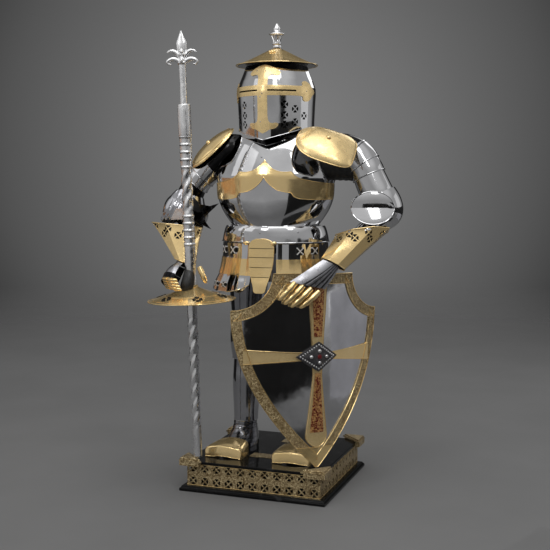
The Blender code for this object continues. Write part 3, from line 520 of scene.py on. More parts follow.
def belt(table, height, angles, lift=0.0):
    return [body_point(table, height, a, lift) for a in angles]


def ring(centre, axis, side, radius, count, flat=1.0, low=0.0, high=360.0):
    axis = unit(axis)
    side = unit(side - axis * np.dot(side, axis))
    other = np.cross(axis, side)
    angles = np.radians(np.linspace(low, high, count, endpoint=high - low < 360.0))
    return [centre + radius * (cos(a) * side + flat * sin(a) * other) for a in angles]


def route(stations, count):
    """Evenly spaced stations on a smooth line through these ones."""
    stations = np.asarray(stations, float)
    steps = np.linalg.norm(np.diff(stations[:, :3], axis=0), axis=1)
    along = np.concatenate([[0.0], np.cumsum(steps)])
    table = smoothed(np.column_stack([along, stations]), 200)
    return np.column_stack([np.interp(spread(0, along[-1], count), table[:, 0], column)
                            for column in table.T[1:]])


def tube(stations, count, side=(0.0, -1.0, 0.0), low=0.0, high=360.0):
    points = np.asarray(stations, float)
    return [ring(row[:3], way, side, row[3], count, 1.0, low, high)
            for row, way in zip(points, np.gradient(points[:, :3], axis=0))]


def upright(profile, count):
    """Rings round the helm's axis, from rows of height and radius."""
    return [ring((HELM_X, 0.0, z), UP, (0, -1, 0), radius, count) for z, radius in profile]


# ---- Meshes: a part is a pair, its points and its faces ----
def linked(name, data):
    made = bpy.data.objects.new(name, data)
    bpy.context.scene.collection.objects.link(made)
    return made


def mesh_of(name, parts, *finishes):
    """One object of several parts."""
    points, faces = [], []
    for part_points, part_faces in parts:
        start = len(points)
        points += [tuple(p) for p in part_points]
        faces += [tuple(i + start for i in face) for face in part_faces]
    mesh = bpy.data.meshes.new(name)
    mesh.from_pydata(points, [], faces)
    for finish in finishes:
        mesh.materials.append(finish)
    return linked(name, mesh)


def piece(name, parts, finish, node="", thickness=0.0, pierced=(), sharp=40.0, inside=None,
          slot=""):
    """One named piece: thickened, pierced, shaded smooth to its sharp edges, riding on root."""
    slot = slot or SLOTS[finish]
    nodes = [node] if node else []
    made = mesh_of(name, parts, finish, *([inside] if inside else []))
    if thickness:
        wall = made.modifiers.new("thickness", "SOLIDIFY")
        wall.thickness = thickness
        wall.offset = -1.0
        wall.material_offset = 1 if inside else 0
    if pierced:
        cutter = mesh_of("cutter", pierced)
        cut = made.modifiers.new("pierced", "BOOLEAN")
        cut.operation = "DIFFERENCE"
        cut.solver = "MANIFOLD"
        cut.object = cutter
    bpy.context.view_layer.update()
    graph = bpy.context.evaluated_depsgraph_get()
    mesh = bpy.data.meshes.new_from_object(made.evaluated_get(graph))
    made.modifiers.clear()
    made.data = mesh
    mesh.shade_smooth()
    mesh.set_sharp_from_angle(angle=radians(sharp))
    if pierced:
        bpy.data.objects.remove(cutter, do_unlink=True)
    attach(made, "root")
    if nodes:
        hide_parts(*nodes)


def quads(rows, columns, wrap=False, loop=False, keep=None):
    """Faces between a grid's points; wrap joins a row's ends, loop its last row to its first."""
    return [(r * columns + c, r * columns + (c + 1) % columns,
             (r + 1) % rows * columns + (c + 1) % columns, (r + 1) % rows * columns + c)
            for r in range(rows if loop else rows - 1)
            for c in range(columns if wrap else columns - 1) if keep is None or keep(r, c)]


def cells_of(grid, wrap, keep=None):
    """The grid's faces, turned away from its middle."""
    cells = quads(*grid.shape[:2], wrap, keep=keep)
    flat = grid.reshape(-1, 3)
    a, b, c, d = flat[np.array(cells)].transpose(1, 0, 2)
    facing = (np.cross(c - a, d - b) * (a - flat.mean(axis=0))).sum()
    return cells if facing > 0 else [cell[::-1] for cell in cells]


def sheet(grid, wrap=False, keep=None):
    """A part: a sheet through the grid, facing away from its middle."""
    grid = np.asarray(grid, float)
    cells = cells_of(grid, wrap, keep)
    used = sorted({i for cell in cells for i in cell})
    place = {old: new for new, old in enumerate(used)}
    return grid.reshape(-1, 3)[used], [tuple(place[i] for i in cell) for cell in cells]


def capped(rings):
    """A part: a closed solid through rings of points."""
    rings = np.asarray(rings, float)
    rows, columns = rings.shape[:2]
    cells = cells_of(rings, True)
    start, end = tuple(range(columns)), tuple(range((rows - 1) * columns, rows * columns))
    forward = cells[0][1] == cells[0][0] + 1
    return rings.reshape(-1, 3), cells + ([start[::-1], end] if forward else [start, end[::-1]])


def bead(path, radius, closed=False, count=8):
    """A part: a round wire along a path of points."""
    path = np.asarray(path, float)
    if closed:
        ahead = np.roll(path, -1, axis=0) - np.roll(path, 1, axis=0)
    else:
        ahead = np.gradient(path, axis=0)
    rings = np.array([ring(p, way, (0.13, 0.21, 0.97), radius, count)
                      for p, way in zip(path, ahead)])
    if not closed:
        return capped(rings)
    return rings.reshape(-1, 3), quads(len(rings), count, True, True)


def dome(centre, normal, radius, height, count=10):
    """A part: a round stud head on a surface."""
    normal = unit(normal)
    side = (0.31, 0.52, 0.8) if abs(normal[2]) < 0.9 else (1.0, 0.0, 0.0)
    return capped([ring(centre + normal * h * height, normal, side, radius * r, count)
                   for h, r in ((-0.3, 1.0), (0.0, 1.0), (0.55, 0.84), (0.88, 0.5), (1.0, 0.12))])


def prism(corners, normal, depth):
    corners = np.asarray(corners, float)
    normal = unit(normal)
    count = len(corners)
    points = np.vstack([corners - normal * depth, corners + normal * depth])
    turn = np.dot(np.cross(corners[1] - corners[0], corners[2] - corners[0]), normal)
    low, high = tuple(range(count)), tuple(range(count, 2 * count))
    faces = [low[::-1], high] + quads(2, count, True)
    return points, faces if turn > 0 else [face[::-1] for face in faces]


def inside_of(outline, point):
    """True where a flat point is inside the outline."""
    x, y = outline[:, 0], outline[:, 1]
    x2, y2 = np.roll(x, 1), np.roll(y, 1)
    spans = (y > point[1]) != (y2 > point[1])
    with np.errstate(divide="ignore", invalid="ignore"):
        meets = x + (point[1] - y) * (x2 - x) / (y2 - y)
    return bool((spans & (point[0] < meets)).sum() % 2)


def patch(outline, place, spacing, scale=(1.0, 1.0), holes=()):
    """A part: the inside of a flat outline laid on a surface by place(u, v)."""
    scale = np.array(scale)
    loops = [np.asarray(loop, float) * scale for loop in (outline, *holes)]
    points, edges = [], []
    for loop in loops:
        first = len(points)
        for start, end in zip(loop, np.roll(loop, -1, axis=0)):
            steps = max(1, round(np.linalg.norm(end - start) / spacing))
            points += [between(start, end, i / steps) for i in range(steps)]
        count = len(points) - first
        edges += [(first + i, first + (i + 1) % count) for i in range(count)]
    border = np.array(points)
    low, high = loops[0].min(axis=0), loops[0].max(axis=0)
    for u in np.arange(low[0] + spacing / 2, high[0], spacing):
        for v in np.arange(low[1] + spacing / 2, high[1], spacing):
            if np.linalg.norm(border - (u, v), axis=1).min() > spacing * 0.45:
                points.append(np.array((u, v)))
    flat, _, faces, *_ = delaunay_2d_cdt([tuple(p) for p in points], edges, [], 0, 1e-7)
    flat = np.array([tuple(p) for p in flat])

    def shown(face):
        within = [inside_of(loop, flat[list(face)].mean(axis=0)) for loop in loops]
        return within[0] and not any(within[1:])

    return [place(*(p / scale)) for p in flat], [tuple(face) for face in faces if shown(face)]


def petals(centre, across, up, half, bar=0.16, depth=0.012):
    """Four petal-shaped prisms that leave a thin saltire between them."""
    across, up = unit(across), unit(up)
    wide = 1.0 - bar * 1.6
    petal = [(bar * 1.5, 0.0), (0.72, wide * 0.66), (0.93, wide * 0.74), (1.0, wide * 0.42)]
    petal += [(x, -y) for x, y in petal[:0:-1]]
    return [prism([centre + half * (u * x - v * y) for x, y in petal], np.cross(across, up), depth)
            for u, v in ((across, up), (up, -across), (-across, -up), (-up, across))]


def saltire(centre, across, up, half):
    """One raised diagonal cross, as a prism."""
    bar, depth = 0.12, 0.004
    along, beside = unit(unit(across) + unit(up)), unit(unit(up) - unit(across))
    corners = []
    for u, v in ((along, beside), (-beside, along), (-along, -beside), (beside, -along)):
        corners += [centre + half * (1.15 * u + bar * v), centre + half * (1.15 * u - bar * v),
                    centre + half * bar * (u - v)]
    return prism(corners, np.cross(along, beside), depth)


# ---- Plinth ----
def rect(x0, y0, x1, y1, z):
    return [(x0, y0, z), (x1, y0, z), (x1, y1, z), (x0, y1, z)]


def stacked(half_width, half_depth, profile):
    """Rectangles one above another, from rows of inset and height."""
    return [rect(inset - half_width, inset - half_depth, half_width - inset, half_depth - inset, z)
            for inset, z in profile]


def plinth():
    core = BAND_INSET + 0.012
    profile = (*PLINTH_MOULDING, (0.01, BASE_HEIGHT), (core, BASE_HEIGHT), (core, BAND_TOP))
    base = stacked(PLINTH_WIDTH / 2, PLINTH_DEPTH / 2, profile)
    piece("plinth_base", [capped(base)], LACQUER, "plinth_carcass", sharp=25)
    bw, bd = PLINTH_WIDTH / 2 - BAND_INSET, PLINTH_DEPTH / 2 - BAND_INSET
    board = stacked(bw + BOARD_OVERHANG, bd + BOARD_OVERHANG,
                    ((0.0, BAND_TOP + GAP), (0.0, BOARD_TOP - 0.002), (0.002, BOARD_TOP)))
    piece("plinth_top", [capped(board)], LACQUER, "plinth_board", sharp=25)
    plinth_band(bw, bd)
    strips = [capped([rect(*corners, z) for z in (BOARD_TOP, BOARD_TOP + 0.0012)])
              for corners in ((-0.07, -0.145, 0.05, -0.085), (-0.02, 0.13, 0.15, 0.185))]
    piece("top_strips", strips, ETCHED)
    for y_name, y_sign in (("front", -1), ("back", 1)):
        for side, x_sign in SIDES:
            corner_cap(f"corner_{y_name}_{side}", x_sign, y_sign, bw, bd)


def plinth_band(half_width, half_depth):
    """The pierced band: two rows of saltires, arches over the upper row, a field between."""
    low, high = BASE_HEIGHT + GAP, BAND_TOP
    upper, lower = high - 0.0175, low + 0.0195
    holes, beads = [], []
    for heading, half, reach in ((0, half_width, half_depth), (90, half_depth, half_width),
                                 (180, half_width, half_depth), (270, half_depth, half_width)):
        turn = radians(heading)
        across, out = np.array(((cos(turn), sin(turn), 0.0), (sin(turn), -cos(turn), 0.0)))
        pitch = 2 * half / BAND_CROSSES
        for i in range(BAND_CROSSES):
            place = across * (-half + pitch * (i + 0.5)) + out * (reach - LEAF / 2)
            for z in (upper, lower):
                holes += petals(place + UP * z, across, UP, BAND_CROSS)
            if i:
                arch = [place + out * 0.0012 + across * (0.015 * cos(a) - pitch / 2)
                        + UP * (upper + 0.001 + 0.0145 * sin(a)) for a in spread(0.0, pi, 13)]
                beads.append(bead(arch, 0.0013, count=6))
        for z in (low + 0.0015, high - 0.0015):
            line = [across * s + out * (reach + 0.0006) + UP * z for s in (-half, half)]
            beads.append(bead(line, 0.0013, count=6))
    band = stacked(half_width, half_depth, ((0.0, low), (0.0, high)))
    piece("band", [sheet(band, True)], ETCHED, "plinth_band", LEAF, pierced=holes)
    piece("band_beads", beads, GILT)


def corner_cap(name, x_sign, y_sign, half_width, half_depth):
    """A gilt triangle over one corner of the board, with a skirt down its two outer sides."""
    x1, y1 = half_width + CORNER_REACH, half_depth + CORNER_REACH
    x0, y0 = x1 - CORNER_LEG, y1 - CORNER_LEG
    xi, yi = half_width + BOARD_OVERHANG + GAP, half_depth + BOARD_OVERHANG + GAP
    # inset of the outline, height
    levels = ((0.001, BOARD_TOP + GAP), (0.0, BOARD_TOP + 0.0015), (0.0, CORNER_TOP - 0.008),
              (0.004, CORNER_TOP - 0.007), (0.004, CORNER_TOP - 0.0015), (0.005, CORNER_TOP))
    solids = [[[(x0 + 2.4 * e, y1 - e, z), (x1 - e, y1 - e, z), (x1 - e, y0 + 2.4 * e, z)]
               for e, z in levels]]
    for corners in ((x0 + CORNER_STEP, yi, x1 - 0.001, y1 - 0.001),
                    (xi, y0 + CORNER_STEP, x1 - 0.001, yi)):
        solids.append([rect(*corners, z) for z in (CORNER_SKIRT, BOARD_TOP + GAP)])
    parts = [capped(np.array(rings) * (x_sign, y_sign, 1)) for rings in solids]
    piece("cap_" + name, parts, ETCHED, name, sharp=25)


# ---- Legs ----
def leg_grid(table, sign, lip=0.0):
    table = smoothed(table, 26)
    grid = []
    for i, (z, x, y, half, depth) in enumerate(table):
        edge = lip * exp(-min(i, len(table) - 1 - i) * 1.2)
        grid.append([(sign * x + (half + edge) * sin(a), y - (depth + edge) * cos(a), z)
                     for a in circle(48)])
    return grid


def foot_x(side, sign, y):
    return sign * (LEG_X - SPLAY[side] * y)


def foot_grid(side, sign):
    """The foot's plates: six overlapping lames, each standing a little proud of the next."""
    grid = []
    for i, (z, y, half, front, back) in enumerate(smoothed(FOOT, 49)):
        proud = LAME_STEP * (1.0 - (i % 8) / 8.0)
        row = []
        for a in circle(48):
            ahead = y - ((front if cos(a) > 0 else back) + proud) * cos(a)
            row.append((foot_x(side, sign, ahead) + (half + proud) * sin(a), ahead, z))
        grid.append(row)
    return grid


def toe_grid(side, sign):
    """The toe cap: a broad arch with a low crown along its middle."""
    return [[(foot_x(side, sign, y) + half * signed_power(sin(share * pi / 2), 0.5), y,
              FLOOR + rise * cos(share * pi / 2) ** 0.3 + 0.004 * exp(-(share / 0.12) ** 2))
             for share in spread(-1, 1, 41)] for y, half, rise in smoothed(TOE, 26)]


def legs():
    for side, sign in SIDES:
        toe = toe_grid(side, sign)
        piece(f"toe_{side}", [sheet(toe)], GILT, f"toe_cap_{side}", PLATE)
        studs = [dome(toe[3][i], (0.3 * (i - 20) / 12, 0.2, 1.0), *STUD) for i in (8, 32)]
        piece(f"toe_studs_{side}", studs + [bead(toe[0], FINE_RIM)], GILT)
        foot = sheet(foot_grid(side, sign), True)
        # the foot plates take the darker steel as painted shade
        piece(f"foot_{side}", [foot], FOOT_SHADE_STEEL, f"sabaton_{side}", PLATE)
        for name, table in (("greave", GREAVE), ("poleyn", POLEYN), ("cuisse", CUISSE)):
            plate = sheet(leg_grid(table, sign, 0.002), True)
            # the leg plates take the darker steel as painted shade
            piece(f"{name}_plate_{side}", [plate], SHADE_STEEL, f"{name}_{side}", PLATE)
        ends = ((GREAVE, 0), (GREAVE, -1), (POLEYN, 0), (POLEYN, -1), (CUISSE, -1))
        rims = [bead(leg_grid(table, sign)[i], RIM, True) for table, i in ends]
        piece(f"leg_rims_{side}", rims, STEEL)


# ---- Body ----
def torso():
    low, high = TORSO[0][0], TORSO[-1][0]
    armhole = smoothed(ARMHOLE, 80)
    breast = []
    for share in spread(0, 1, 60):
        right, left = (column_at(armhole, between(low, high, share), i) for i in (1, 2))
        row = []
        for a in (*spread(-right, 0, 33), *spread(0, left, 33)[1:]):
            neck = high - NECK_DROP * max(0.0, 1.0 - abs(a) / NECK_SPAN)
            row.append(body_point(TORSO, between(low, neck, share), a))
        breast.append(row)
    # the breastplate's inner face is painted shade
    piece("breast", [sheet(breast)], STEEL, "breastplate", PLATE, inside=PAINTED_SHADE)
    rims = [bead([row[i] for row in breast[26:]], 0.0032) for i in (0, -1)]
    piece("breast_rims", rims + [bead(breast[i], FINE_RIM) for i in (0, -1)], STEEL)
    chest_band()
    hole = smoothed(BACK_ARMHOLE, 60)
    back = []
    for z in spread(low, high, 52):
        reach = column_at(hole, z, 1) + 2.6
        back.append(belt(TORSO, z, spread(180 - reach, 180 + reach, 65)))
    # the backplate's inner face is painted shade
    piece("back", [sheet(back)], STEEL, "backplate", PLATE, inside=PAINTED_SHADE)
    piece("back_rims", [bead([row[i] for row in back[26:]], 0.003) for i in (0, -1)], STEEL)
    # the collar is painted near-black: painted shade in the gap under the helm
    piece("collar", [sheet(upright(smoothed(COLLAR, 12), 48), True)], BLACK_SHADE, "gorget", PLATE)
    waist()
    studs = []
    for table, z, a in ((TORSO, 1.428, -4), (TORSO, 1.398, -4), (HIP, 1.109, -5), (HIP, 1.112, 37),
                        (HIP, 1.11, -44)):
        place = body_point(table, z, a, 0.002)
        studs.append(dome(place, place * (1, 1, 0), *STUD))
    # the studs take the darker steel as painted shade
    piece("body_studs", studs, SHADE_STEEL)


def chest_band():
    """The gilt band across the breast, scalloped below and above."""
    half = smoothed(CHEST_BAND, 60)
    rows = [(-a, top, bottom) for a, top, bottom in half[:0:-1]] + [*half]
    grid = [[body_point(TORSO, between(bottom, top, share), a, OVERLAY) for a, top, bottom in rows]
            for share in spread(0, 1, 9)]
    piece("chest_gilt", [sheet(grid)], GILT, "chest_band", LEAF)
    piece("chest_edges", [bead(grid[i], 0.0014, count=6) for i in (0, -1)], GILT)


def waist():
    angles = spread(0, 360, 121)[:-1]
    grid = [belt(HIP, z, angles, lift) for z, lift in smoothed(WAIST, 20)]
    ledge = belt(HIP, 1.1365, angles, -0.022)
    piece("waist", [sheet([*grid, ledge], True)], STEEL, "waist_lame", PLATE)
    piece("waist_rim", [bead(belt(HIP, 1.068, angles, 0.0045), RIM, True)], STEEL)


def tongue():
    """The lamed gilt plate that hangs in front, rounded above and narrow below."""
    table = smoothed(TONGUE, 80)
    ends = (TONGUE[0][0], *TONGUE_HINGES, TONGUE[-1][0])

    def across(z, lift, narrower=0.0):
        half, wide = column_at(table, z, 1) - narrower, column_at(HIP, z, 1)
        return belt(HIP, z, [degrees(asin((half * s + TONGUE_X) / wide))
                             for s in spread(-1, 1, 21)], lift)

    even = [z for z in spread(ends[0], ends[-1], 60)
            if all(abs(z - hinge) > 0.0015 for hinge in TONGUE_HINGES)]
    grid = []
    for z in sorted(even + [z + step for z in TONGUE_HINGES for step in (-0.0003, 0.0003)]):
        lame = sum(z > hinge for hinge in TONGUE_HINGES)
        share = (z - ends[lame]) / (ends[lame + 1] - ends[lame])
        grid.append(across(z, 0.0095 + 0.0006 * (1 - share)))
    piece("tongue_plate", [sheet(grid)], GILT, "tongue", PLATE, sharp=25)
    # the hinge lines are thin near-black wires: painted shade in the gaps between the lames
    lines = [bead(across(z, 0.0112, 0.002), FINE_RIM, count=6) for z in TONGUE_HINGES]
    piece("tongue_lines", lines, BLACK_SHADE)
    parts = [bead([row[0] for row in grid] + [row[-1] for row in grid[::-1]], FINE_RIM, True)]
    for at in (-18.5, 10.5):
        place = body_point(HIP, 1.066, at, 0.003)
        out, aside = unit(place * (1, 1, 0)), unit(body_point(HIP, 1.066, at + 1, 0.003) - place)
        knob = [ring(place + out * 0.009 + aside * shift, aside, UP, radius, 14) for shift, radius
                in ((-0.013, 0.003), (-0.006, 0.0085), (0.006, 0.0085), (0.013, 0.003))]
        parts += [dome(place, out, 0.0055, 0.006, 16), capped(knob)]
    piece("tongue_trim", parts, GILT)


def skirt(name, band_name, angles, low, drop, crosses=()):
    """One skirt plate, creased into upright facets, and the gilt band on it."""
    def crease(a):
        away = abs((a + FACET / 2) % FACET - FACET / 2) / (FACET / 2)
        return 0.003 * (1 - away) - 0.003

    grid = [[body_point(HIP, between(low + drop(a), HIP_TOP, share), a, crease(a)) for a in angles]
            for share in spread(0, 1, 24)]
    piece(name + "_plate", [sheet(grid)], STEEL, name, PLATE, sharp=12)
    dark, bright = [], []
    # each cross is dark petals laid on as painted shade of a piercing, under a raised bright
    # saltire
    for a, z, size in crosses:
        place = body_point(HIP, z, a, 0.0015)
        across = body_point(HIP, z, a + 1) - body_point(HIP, z, a - 1)
        dark += petals(place, across, UP, size, depth=0.003)
        bright.append(saltire(place, across, UP, size))
    if crosses:
        piece(name + "_crosses", dark, PAINTED_SHADE)
        piece(name + "_saltires", bright, BRIGHT)
    band = [[body_point(HIP, z, a, OVERLAY + crease(a)) for a in angles]
            for z in spread(*HIP_BAND, 9)]
    piece(band_name + "_gilt", [sheet(band)], GILT, band_name, LEAF, sharp=12)
    piece(name + "_rim", [bead(grid[0], RIM)], STEEL)


def skirts():
    for side, sign in SIDES:
        skirt("tasset_" + side, "tasset_band_" + side, sign * spread(13, 84, 72), 0.852,
              lambda a: 0.04 * abs((abs(a) - 48) / 36) ** 2.5,
              [(sign * a, z, half) for a, z, half in SKIRT_CROSSES])
    skirt("culet", "culet_band", spread(85, 275, 191), 0.866, lambda a: 0.0)


# ---- Arms ----
def dish(placing, rim=0.2, rows=16):
    """A grid over a rounded dish, whose rim stands at that share of its height."""
    centre, normal, long_way, half_long, half_short, height, roundness, inner = placing
    normal = unit(normal)
    long_way = unit(long_way - normal * np.dot(long_way, normal))
    short_way = np.cross(normal, long_way)
    grid = []
    for r in np.sin(spread(1.0, 0.02, rows) * pi / 2):
        rise = normal * height * sqrt(1.0 - (1.0 - rim * rim) * r * r)
        row = []
        for a in circle(64):
            power = roundness if cos(a) > 0 else inner
            row.append(centre + r * (signed_power(cos(a), power) * half_long * long_way
                                     + signed_power(sin(a), power) * half_short * short_way)
                       + rise)
        grid.append(row)
    return grid


def pauldron(side, lining):
    """One shoulder leaf, its rims and the stud in its middle."""
    grid, normal = dish(PAULDRON[side]), unit(PAULDRON[side][1])
    piece(f"pauldron_plate_{side}", [sheet(grid, True)], GILT if side == "r" else SATIN_GILT,
          f"pauldron_{side}", PLATE, inside=lining)
    parts = [bead(grid[0], RIM, True)]
    if side == "r":
        parts.append(bead(grid[4] + 0.0005 * normal, FINE_RIM, True))
    parts.append(dome(np.mean(grid[-1], axis=0) - normal * 0.001, normal, 0.011, 0.01, 20))
    piece(f"pauldron_trim_{side}", parts, GILT)


def cuff(side):
    """One faceted cuff, pierced with a zigzag of crosses, and its leather lining."""
    (top, *top_axes), (wrist, *wrist_axes) = CUFF[side]
    grid = []
    for share in spread(0, 1, 15):
        u, v = (between(*axes, share ** 0.85) for axes in zip(top_axes, wrist_axes))
        row = []
        for a in circle(80):
            facet = cos(pi / 8) / cos((a + pi / 8) % (pi / 4) - pi / 8)
            row.append(between(top, wrist, share)
                       + between(1.0, facet, 0.95) * (cos(a) * u + sin(a) * v))
        grid.append(row)
    grid = np.array(grid)
    holes = []
    for k, i in enumerate(range(0, 80, 5)):
        level = 2 if k % 2 else 4
        across = unit(grid[level, (i + 1) % 80] - grid[level, i - 1])
        up = grid[level - 2, i] - grid[level + 2, i]
        holes += petals(grid[level, i], across, up - across * np.dot(up, across), 0.0155, 0.13)
    # the cuff's inner face is painted shade
    piece(f"cuff_plate_{side}", [sheet(grid, True)], GILT, f"cuff_{side}", PLATE, holes, 14, PAINTED_SHADE)
    lining = [[p - 0.01 * unit(p - row.mean(axis=0)) for p in row] for row in grid[1:]]
    piece(f"cuff_lining_{side}", [sheet(lining, True)], LEATHER, thickness=LEAF)
    piece(f"cuff_rims_{side}", [bead(grid[i], 0.002, True) for i in (0, -1)], GILT)


def finger(path, radius, side):
    """Parts: overlapping half-round scales along a finger, closed at the tip."""
    path = route(path, 19)
    parts = []
    for k in range(3):
        rows = path[k * 6:k * 6 + 8]
        stations = []
        for i, p in enumerate(rows):
            share = i / (len(rows) - 1)
            grow = radius * (0.9 + 0.16 * share) * (1.0 - 0.1 * k)
            if k == 2:
                grow *= sqrt(max(0.06, 1.0 - max(0.0, share - 0.35) ** 2 / 0.45))
            stations.append((*p[:3], grow))
        parts.append(capped(tube(stations, 14, side)))
    return parts


def spot(corners, along, across):
    """A place between the four corners of a hand's plates."""
    wrist_upper, wrist_lower, far_upper, far_lower = corners
    return between(between(wrist_upper, far_upper, along), between(wrist_lower, far_lower, along),
                   across)


def left_hand():
    out = shield_normal(-0.07)

    def back(along, across, lift=0.0):
        """A place on the back of the hand, from the wrist and from its upper edge."""
        bulge = 0.014 * (1 - (2 * across - 1) ** 2)
        return spot(HAND_L, along, across) + out * (bulge + lift - 0.008 * along ** 3)

    stations = spread(0, 1, 14)
    glove = [[back(s, across, -0.003) for across in spread(0.02, 0.99, 25)] for s in stations]
    piece("hand_glove_l", [sheet(glove)], LEATHER, thickness=LEAF)
    plates = [sheet([[back(s, across * between(0.56, 0.33, s), 0.001)
                      for across in spread(0, 1, 25)] for s in stations])]
    for k in range(4):
        rows = []
        for s in stations:
            first = between(0.56, 0.36, s)
            rows.append([back(s, first + (1.0 - first) / 4 * (k + t), 0.001 + 0.002 * sin(pi * t))
                         for t in spread(0.3, 0.98, 9)])
        plates.append(sheet(rows))
    # the hand plates are satin steel whose darker colour is painted shade
    piece("hand_plates_l", plates, SATIN_SHADE_STEEL, "gauntlet_l", LEAF)
    parts = []
    for share, reach in ((0.1, 1.0), (0.36, 1.06), (0.62, 1.04), (0.88, 0.92)):
        path = [spot(FINGERS_L, along * reach, share) + out * lift
                for along, lift in ((0.0, 0.006), (0.5, 0.013), (1.0, 0.001))]
        parts += finger(path, 0.0135, out)
    piece("fingers_plate_l", parts, GILT, "fingers_l")
    thumb = [shield_point(*place) for place in mm((32, 835, -20), (20, 790, -24), (8, 745, -26))]
    piece("thumb_plate_l", finger(thumb, 0.013, -out), GILT, "thumb_l")


def right_hand():
    stations = route(HAND_R, 24)
    lames = []
    for k in range(4):
        rows = [(*row[:3], row[3] + LAME_STEP * (1 - i / 6))
                for i, row in enumerate(stations[k * 6:k * 6 + 7])]
        lames.append(sheet(tube(rows, 40, -HAND_ACROSS, -105, 105)))
    # the back of the hand is satin steel whose darker colour is painted shade; its inner face is
    # painted shade
    piece("hand_back_r", lames[:3], SATIN_SHADE_STEEL, "gauntlet_r", LEAF, inside=PAINTED_SHADE)
    # the knuckle lames are painted near-black as painted shade round the fingers
    piece("hand_knuckles_r", lames[3:], BLACK_SHADE, thickness=LEAF)
    piece("hand_glove_r", [capped(tube(route(GLOVE_R, 20), 24, HAND_FRONT))], LEATHER)
    parts = []
    for share in (0.06, 0.36, 0.66, 0.94):
        start, middle, end = (spot(FINGERS_R, along, share) for along in (0.0, 0.5, 1.0))
        parts += finger([start + (-0.03, 0.02, 0.0), start, middle + HAND_FRONT * 0.006, end],
                        0.0105, HAND_FRONT)
    piece("fingers_plate_r", parts, GILT, "fingers_r")
    thumb = [spot(THUMB_R, along, 0.5) + HAND_FRONT * lift
             for along, lift in ((0.0, 0.0), (0.5, 0.006), (1.0, 0.0))]
    piece("thumb_plate_r", finger(thumb, 0.0125, HAND_FRONT), GILT, "thumb_r")


def arms():
    for side, _ in SIDES:
        # the right arm's and right pauldron's insides are painted near-black as painted shade; the
        # left's are plain steel
        lining = BLACK_SHADE if side == "r" else STEEL
        pauldron(side, lining)
        for name, stations in ARM[side].items():
            grid = tube(route(stations, 60 if name == "couter" else 26), 56)
            # plates listed in SHADED are painted near-black as painted shade
            metal = BLACK_SHADE if (name, side) in SHADED else STEEL
            piece(f"{name}_plate_{side}", [sheet(grid, True)], metal, f"{name}_{side}", PLATE,
                  inside=lining)
            piece(f"{name}_rim_{side}", [bead(grid[-1], HEAVY_RIM, True)], metal)
        cuff(side)
    wing = dish(WING, rim=0.5, rows=24)
    for row in wing:
        for point in row:
            point += unit(WING[1]) * 0.45 * max(0.0, WING[0][2] - point[2])
    piece("wing_l", [sheet(wing, True)], STEEL, thickness=PLATE, sharp=10)
    piece("wing_rim_l", [bead(wing[0], HEAVY_RIM, True)], STEEL)
    elbow_fans()
    # a black leather sleeve that fills the shade under the left pauldron: painted shade
    sleeve = route(SLEEVE, 30)
    folds = [[p + 0.0012 * sin(i * 1.9) * unit(p - row[:3]) for p in round_row]
             for i, (row, round_row) in enumerate(zip(sleeve, tube(sleeve, 40)))]
    piece("shade_sleeve_l", [capped(folds)], LEATHER)
    left_hand()
    right_hand()


def elbow_fans():
    """The fluted wing, the flat boss and the spiked wing of the right couter."""
    base = np.array((-0.41, -0.05, 1.18))

    def at(u, v, ahead):
        return base + HAND_ACROSS * u + HAND_FRONT * ahead + UP * v

    def domed(u, v, reach=0.13, lift=0.0):
        return at(u, v, sqrt(max(0.0, reach * reach - u * u - v * v)) * 0.8 + lift)

    def fluted(u, v):
        return domed(u, v, 0.135, 0.0022 * abs(sin((v * 0.45 - u) * 170)))

    fan = patch(FAN_LEFT, fluted, 0.0045)
    # the fluted wing takes the darker steel as painted shade
    piece("couter_fan_r", [fan], SHADE_STEEL, thickness=PLATE, sharp=25)
    # the spiked wing is painted near-black as painted shade
    piece("couter_spikes_r", [patch(FAN_RIGHT, domed, 0.006)], BLACK_SHADE, thickness=PLATE)
    face = np.array([at(u, v, 0.14 + 0.74 * u) for u, v in FAN_FACE])
    piece("couter_face_r", [capped([face - HAND_FRONT * 0.012, face])], SILVER, slot="steel")


# ---- Helm ----
def helm_point(height, angle, lift=0.0):
    """A point on the helm at a height in front and an angle from the front towards +X."""
    away = abs(angle) / 24
    ridge = HELM_KEEL * exp(-away * away)
    rise = min(1.0, abs(angle) / RIM_SPAN) * (HELM_RIM - HELM[0][0])
    share = max(0.0, (HELM[2][0] - height) / (HELM[2][0] - HELM[0][0]))
    return (shell_point(HELM, height, radians(angle), lift, HELM_TURN, ridge)
            + (HELM_X, 0.0, rise * share))


def helm():
    angles = sorted({*spread(-180, 178, 180), *SIGHT_SPAN, *(-a for a in SIGHT_SPAN)})
    rows = {*spread(HELM[0][0], HELM[-1][0], 44), *HELM[:, 0]}
    clear = [z for z in rows if z < SIGHT[0] - 0.003 or z > SIGHT[1] + 0.003]
    heights = sorted([*clear, *SIGHT])
    grid = [[helm_point(z, a) for a in angles] for z in heights]

    def keep(row, column):
        near, far = sorted(abs(angles[(column + i) % len(angles)]) for i in (0, 1))
        return (heights[row] != SIGHT[0] or near < SIGHT_SPAN[0] - 0.1
                or far > SIGHT_SPAN[1] + 0.1)

    crown = [(between(HELM_X, x, 0.09), y * 0.09, HELM[-1][0] + 0.002) for x, y, _ in grid[-1]]
    holes = []
    for a, z in BREATHS:
        for side in (a - 2, -a - 2):
            across = helm_point(z, side + 1) - helm_point(z, side - 1)
            holes += petals(helm_point(z, side), across, UP, 0.0155)
    # the helm's inner face is painted shade
    piece("helm_plate", [sheet(grid + [crown], True, keep)], STEEL, "helm", PLATE, holes, 14, PAINTED_SHADE)
    rim = [helm_point(HELM[0][0], a, 0.001) for a in angles]
    piece("helm_rim", [bead(rim, RIM, True)], STEEL)
    helm_cross()


